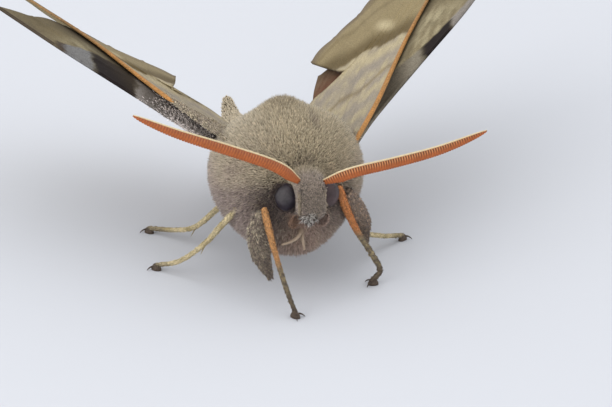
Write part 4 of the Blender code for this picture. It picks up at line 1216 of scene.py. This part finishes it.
def wing_fur(name, side, ring, amount, seed, tints):
    """Short hairs over the root of a wing, which lie outwards.

    amount is how many there are, and the U by which they have thinned out. Soft
    noise makes the edge of the fur ragged and mixes its two tints.
    """
    count, reach = amount
    along, back, _ = wing_axes(side)

    def flat(points):
        """Places U and V of points, in millimetres from the wing's root."""
        away = points - np.array(WING_ROOT[side])
        return away @ along, away @ back

    def tint_of(points):
        """The two tints, mixed by soft noise over U and V."""
        spots = np.stack([*flat(points), 0 * points[:, 0]], -1)
        return mix(*tints, step_between(wave_noise(spots, 0.8, 91), -0.5, 0.5))

    u, v = flat(ring)
    ragged = 0.7 * wave_noise(ring.reshape(-1, 3), 1.2, 93).reshape(u.shape)
    weight = 1 - step_between(u + 0.25 * np.abs(v - 2.0) + ragged, 0.45 * reach, reach)
    cover(name, ring, count, lean=77.0, length=0.36, radius=0.034, slot="wing_scales",
          seed=seed, tint_of=tint_of, weight=weight)


def grain(u, v, length, width, seed):
    """Noise on a wing drawn out along U: length and width are its sizes in millimetres."""
    spots = np.stack([u / length, v / width, np.zeros_like(u)], -1).reshape(-1, 3)
    return wave_noise(spots, 1.0, seed).reshape(u.shape)


def forewing_tint(u, v):
    """Colour of the forewing's upper face by U and V in millimetres.

    From the root: lilac-grey and cream streaks, a thin dark line, a cream band,
    the dark edge of the olive middle band with a pale spot, then plain
    khaki-brown with two faint wavy lines.
    """
    fine = grain(u, v, 1.6, 0.9, 71)
    streak = grain(u, v, 7.0, 1.7, 72)
    broad = grain(u, v, 8.0, 5.0, 73)
    patch = grain(u, v, 3.2, 2.4, 74)
    blend = 0.6 * streak + 0.2 * fine + 0.3 * broad + 0.8 * patch
    colour = mix(FORE_GREY, FORE_CREAM, 0.9 * step_between(blend, -0.5, 0.7))
    line = u + 0.5 * v - (FORE_LINE + 0.5 * np.sin(v * 1.4) + 0.3 * fine)
    colour = mix(colour, FORE_OLIVE * 1.5, 0.55 * np.exp(-(line / 0.5) ** 2))
    inner = u - (FORE_BAND + 0.25 * np.sin(v * 1.3) + 0.35 * fine)
    colour = mix(colour, FORE_CREAM * 1.1, 0.7 * np.exp(-((inner + 1.3) / 1.0) ** 2))
    colour = mix(colour, FORE_KHAKI, step_between(inner, -0.35, 0.35))
    colour = mix(colour, FORE_OLIVE, 0.85 * plateau(inner, (-0.25, 0.3), (1.0, 3.6)))
    beyond, across = u - FORE_SPOT[0], v - FORE_SPOT[1]
    spot = np.exp(-((beyond / 1.3) ** 2 + ((across - 0.9 * beyond) / 0.9) ** 2) ** 1.5)
    colour = mix(colour, FORE_CREAM * 1.15, 0.85 * spot)
    for place in FORE_WAVY_LINES:
        wavy = u + 0.6 * v - (place + 0.5 * np.sin(v * 1.6 + place))
        colour = mix(colour, FORE_OLIVE, 0.35 * np.exp(-(wavy / 0.6) ** 2))
    return colour * (1 + 0.09 * fine + 0.08 * broad)[..., None]


def front_edge(side, front, level, reach):
    """The rounded front edge of a forewing: orange, slimmer and more olive towards its tip.

    It is a tube along the sheet's own front edge, which rises out of the fur.
    """
    line = on_wing(side, front, level)
    radius = np.interp(reach, [0.0, 0.3, 0.6, 1.0], [0.25, 0.22, 0.17, 0.07])
    radius = radius * step_between(reach - reach[0], -0.02, 0.03)
    rings = tube(line, radius, 16, up=wing_axes(side)[2], flat=0.85)
    tone = wave_noise(rings.reshape(-1, 3), 3.0, 77).reshape(rings.shape[:2])
    tint = mix(ORANGE, ORANGE * (0.8, 0.85, 0.95), step_between(tone, -0.6, 0.6))
    outer = step_between(reach, 0.45, 0.72)[:, None]
    tint = mix(tint, OLIVE_LEG * (0.72, 0.62, 0.6), 0.7 * outer)
    rings_piece("forewing_costa_" + side, rings, LEG_SCALES, tint)


def forewing(side):
    """A forewing with its markings, veins, fur at the root and a rounded front edge."""
    grid, share, reach = sheet_grid(FORE_COSTA, FORE_DORSUM, FORE_BULGE, FORE_SCALLOP,
                                    FORE_VEINS, 150, 12 * FORE_VEINS + 1)
    level = wing_level(side, grid, share, reach, FORE_DROOP[side])
    fringe = step_between(reach, 0.965, 0.995)[:, None]
    tint = mix(forewing_tint(grid[..., 0], grid[..., 1]), DARK_BROWN * 2.2, 0.6 * fringe)
    ring = wing_sheet("forewing_sheet_" + side, side, grid, level, share, FORE_VEINS, tint,
                      "forewing_" + side)
    wing_fur("forewing_fur_" + side, side, ring, FORE_FUR[side], 94, FORE_FUR_TINTS)
    first = np.searchsorted(grid[:, 0, 0], COSTA_START[side])
    front_edge(side, grid[first:, 0], level[first:, 0], reach[first:])


def hindwing_tint(side, u, v, ahead, behind):
    """Colour of the hindwing's upper face, khaki with cream streaks over its middle.

    ahead is the distance back from its front edge and behind the distance
    behind the forewing's front edge. The front strip runs from speckled
    lilac-grey through a black-brown patch and pale grey to olive-khaki with a
    dark margin. A rust-red patch lies near the root, and the part close to the
    forewing's front edge is shaded.
    """
    fine = grain(u, v, 0.8, 0.6, 81)
    speck = grain(u, v, 0.26, 0.22, 83)
    broad = grain(u, v, 5.0, 3.0, 82)
    streak = grain(u, v, 3.0, 0.7, 84)
    khaki, grey = np.array(HIND_KHAKI[side]), np.array(HIND_GREY[side])
    colour = mix(khaki, khaki * 0.7, step_between(broad, -0.5, 0.8))
    streaks = plateau(u, (6.0, 9.0), (17.0, 20.0)) * step_between(streak + 0.3 * broad, -0.5, 0.5)
    colour = mix(colour, HIND_CREAM, HIND_CREAM_SHARE[side] * streaks)

    wide = np.interp(u, *np.array(HIND_STRIP[side]).T)
    strip = 1 - step_between(ahead + 0.12 * fine, wide - 0.12, wide + 0.12)
    place = u - 0.75 * ahead + 0.3 * fine
    near, far = ((edge - 0.3, edge + 0.3) for edge in HIND_PATCH[side])
    end = HIND_PALE[side]
    freckles = 0.42 * step_between(speck + 0.5 * fine, 0.0, 0.7)
    # On the right the lilac-grey is painted lighter, as painted light.
    speckled = mix(HIND_LILAC[side], HIND_BLACK * 5, freckles)
    colour = mix(colour, speckled, strip * (1 - step_between(place, *near)))
    pale = mix(grey, grey * 0.62, 0.6 * step_between(speck, -0.1, 0.9))
    colour = mix(colour, pale, strip * plateau(place, far, (end - 0.2, end + 0.3)))
    black = HIND_BLACK * (1 + 0.9 * (speck > 0.6))[..., None]
    colour = mix(colour, black, strip * plateau(place, near, far))
    small = np.exp(-(((place - end - 0.4) / 0.55) ** 4))
    colour = mix(colour, HIND_BLACK * 3, 0.8 * small * strip)

    rust = np.exp(-(((u - HIND_RUST[0]) / 8.0) ** 4 + ((v - HIND_RUST[1]) / 5.2) ** 4))
    colour = mix(colour, RUST, 0.92 * rust)
    start, deep = HIND_SHADE[side]
    shade = step_between(behind, start, -0.1) * step_between(u, 5.0, 8.0)
    colour = mix(colour, HIND_SHADE_BROWN, deep * shade * (1 - rust))
    margin = step_between(u, end, end + 1.5) * (1 - step_between(ahead, 0.1, 0.35))
    colour = mix(colour, DARK_BROWN, 0.8 * margin)
    return colour * (1 + 0.10 * fine)[..., None]


def hindwing(side):
    """A hindwing with its markings: low at its front edge, then up close under the forewing.

    Behind the forewing's front edge it follows the forewing's bow and droop, and
    it sinks away from it a little further back.
    """
    grid, share, reach = sheet_grid(HIND_COSTA, HIND_DORSUM, HIND_BULGE, HIND_SCALLOP,
                                    HIND_VEINS, 120, 12 * HIND_VEINS + 1)
    u, v = grid[..., 0], grid[..., 1]
    behind = v - np.interp(u, *np.array(FORE_COSTA).T)
    ahead = np.linalg.norm(grid - grid[:, :1], axis=-1)
    front = behind[:, :1]
    rise = step_between(behind, front, np.maximum(front + 2.2, 0.4))
    sink = step_between(behind, 1.5, 5.0)
    fore = wing_level(side, grid, np.zeros_like(share), reach, HIND_DROOP[side])
    level = (-HIND_DROP + (HIND_DROP - HIND_UNDER) * rise + fore * rise
             - (HIND_BEHIND - HIND_UNDER) * sink)
    ring = wing_sheet("hindwing_sheet_" + side, side, grid, level, share, HIND_VEINS,
                      hindwing_tint(side, u, v, ahead, behind), "hindwing_" + side)
    wing_fur("hindwing_fur_" + side, side, ring, HIND_FUR[side], 96, HIND_FUR_TINTS)


# Stage

def floor():
    """A wide plain floor of pale lavender-white card under the feet."""
    material, _, shader = new_material("pale_floor", 0.9)
    shader.inputs["Base Color"].default_value = FLOOR_COLOUR
    far = FLOOR_REACH
    mesh = bpy.data.meshes.new("floor")
    mesh.from_pydata([(-far, -far, 0), (far, -far, 0), (far, far, 0), (-far, far, 0)], [],
                     [(0, 1, 2, 3)])
    mesh.materials.append(material)
    ground = bpy.data.objects.new("floor", mesh)
    bpy.context.scene.collection.objects.link(ground)


def set_up(name, data, side, up, back, place):
    """Put a camera or light into the scene at a place in metres, with its three axes."""
    matrix = np.eye(4)
    matrix[:3] = np.stack([side, up, back, place], -1)
    made = bpy.data.objects.new(name, data)
    made.matrix_world = Matrix(matrix.tolist())
    bpy.context.scene.collection.objects.link(made)
    return made


def camera():
    """A long lens at the photo's angle, placed so that the antenna bases show at HEAD_PIXEL."""
    turn, rise = math.radians(CAMERA_TURN), math.radians(CAMERA_RISE)
    right = np.array([math.cos(turn), -math.sin(turn), 0.0])
    up = np.array([math.sin(turn) * math.sin(rise), math.cos(turn) * math.sin(rise),
                   math.cos(rise)])
    ahead = np.cross(up, right)
    x = (HEAD_PIXEL[0] - FRAME_SIZE[0] / 2) / SCALE_AT_HEAD
    y = (FRAME_SIZE[1] / 2 - HEAD_PIXEL[1]) / SCALE_AT_HEAD
    place = np.array(AIM) - x * right - y * up - CAMERA_REACH * ahead
    lens = bpy.data.cameras.new("camera")
    lens.sensor_width = 36.0
    lens.lens = SCALE_AT_HEAD * CAMERA_REACH / FRAME_SIZE[0] * lens.sensor_width
    lens.clip_start, lens.clip_end = 0.01, 10.0
    bpy.context.scene.camera = set_up("camera", lens, right, up, -ahead, place * MM + ORIGIN)


def lighting():
    """A pale room and two square soft lights: a key from the right front, a weak one from above."""
    world = bpy.data.worlds.new("room")
    world.use_nodes = True
    room = world.node_tree.nodes["Background"].inputs
    room["Color"].default_value = ROOM_COLOUR
    room["Strength"].default_value = ROOM_STRENGTH
    bpy.context.scene.world = world
    for name, (place, size, power, colour) in LIGHTS.items():
        lamp = bpy.data.lights.new(name, "AREA")
        lamp.size, lamp.energy, lamp.color = size, power, colour
        back = unit(np.array(place) - np.array(LIGHT_AIM))
        side = unit(np.cross((0.0, 0.0, 1.0), back))
        set_up(name, lamp, side, np.cross(back, side), back, place)
    bpy.context.scene.view_settings.view_transform = "Standard"


camera()
lighting()
floor()
body_skin()
for wing_side in SIDES:
    forewing(wing_side)
    hindwing(wing_side)
    eye(wing_side)
    eye_collar(wing_side)
    antenna(wing_side)
    palp(wing_side)
    lobe(wing_side)
tongue()
face_tuft()
face_fringe()
for leg_name in LEG_LINES:
    leg(leg_name)
for layer in COAT_LAYERS:
    coat(*layer)
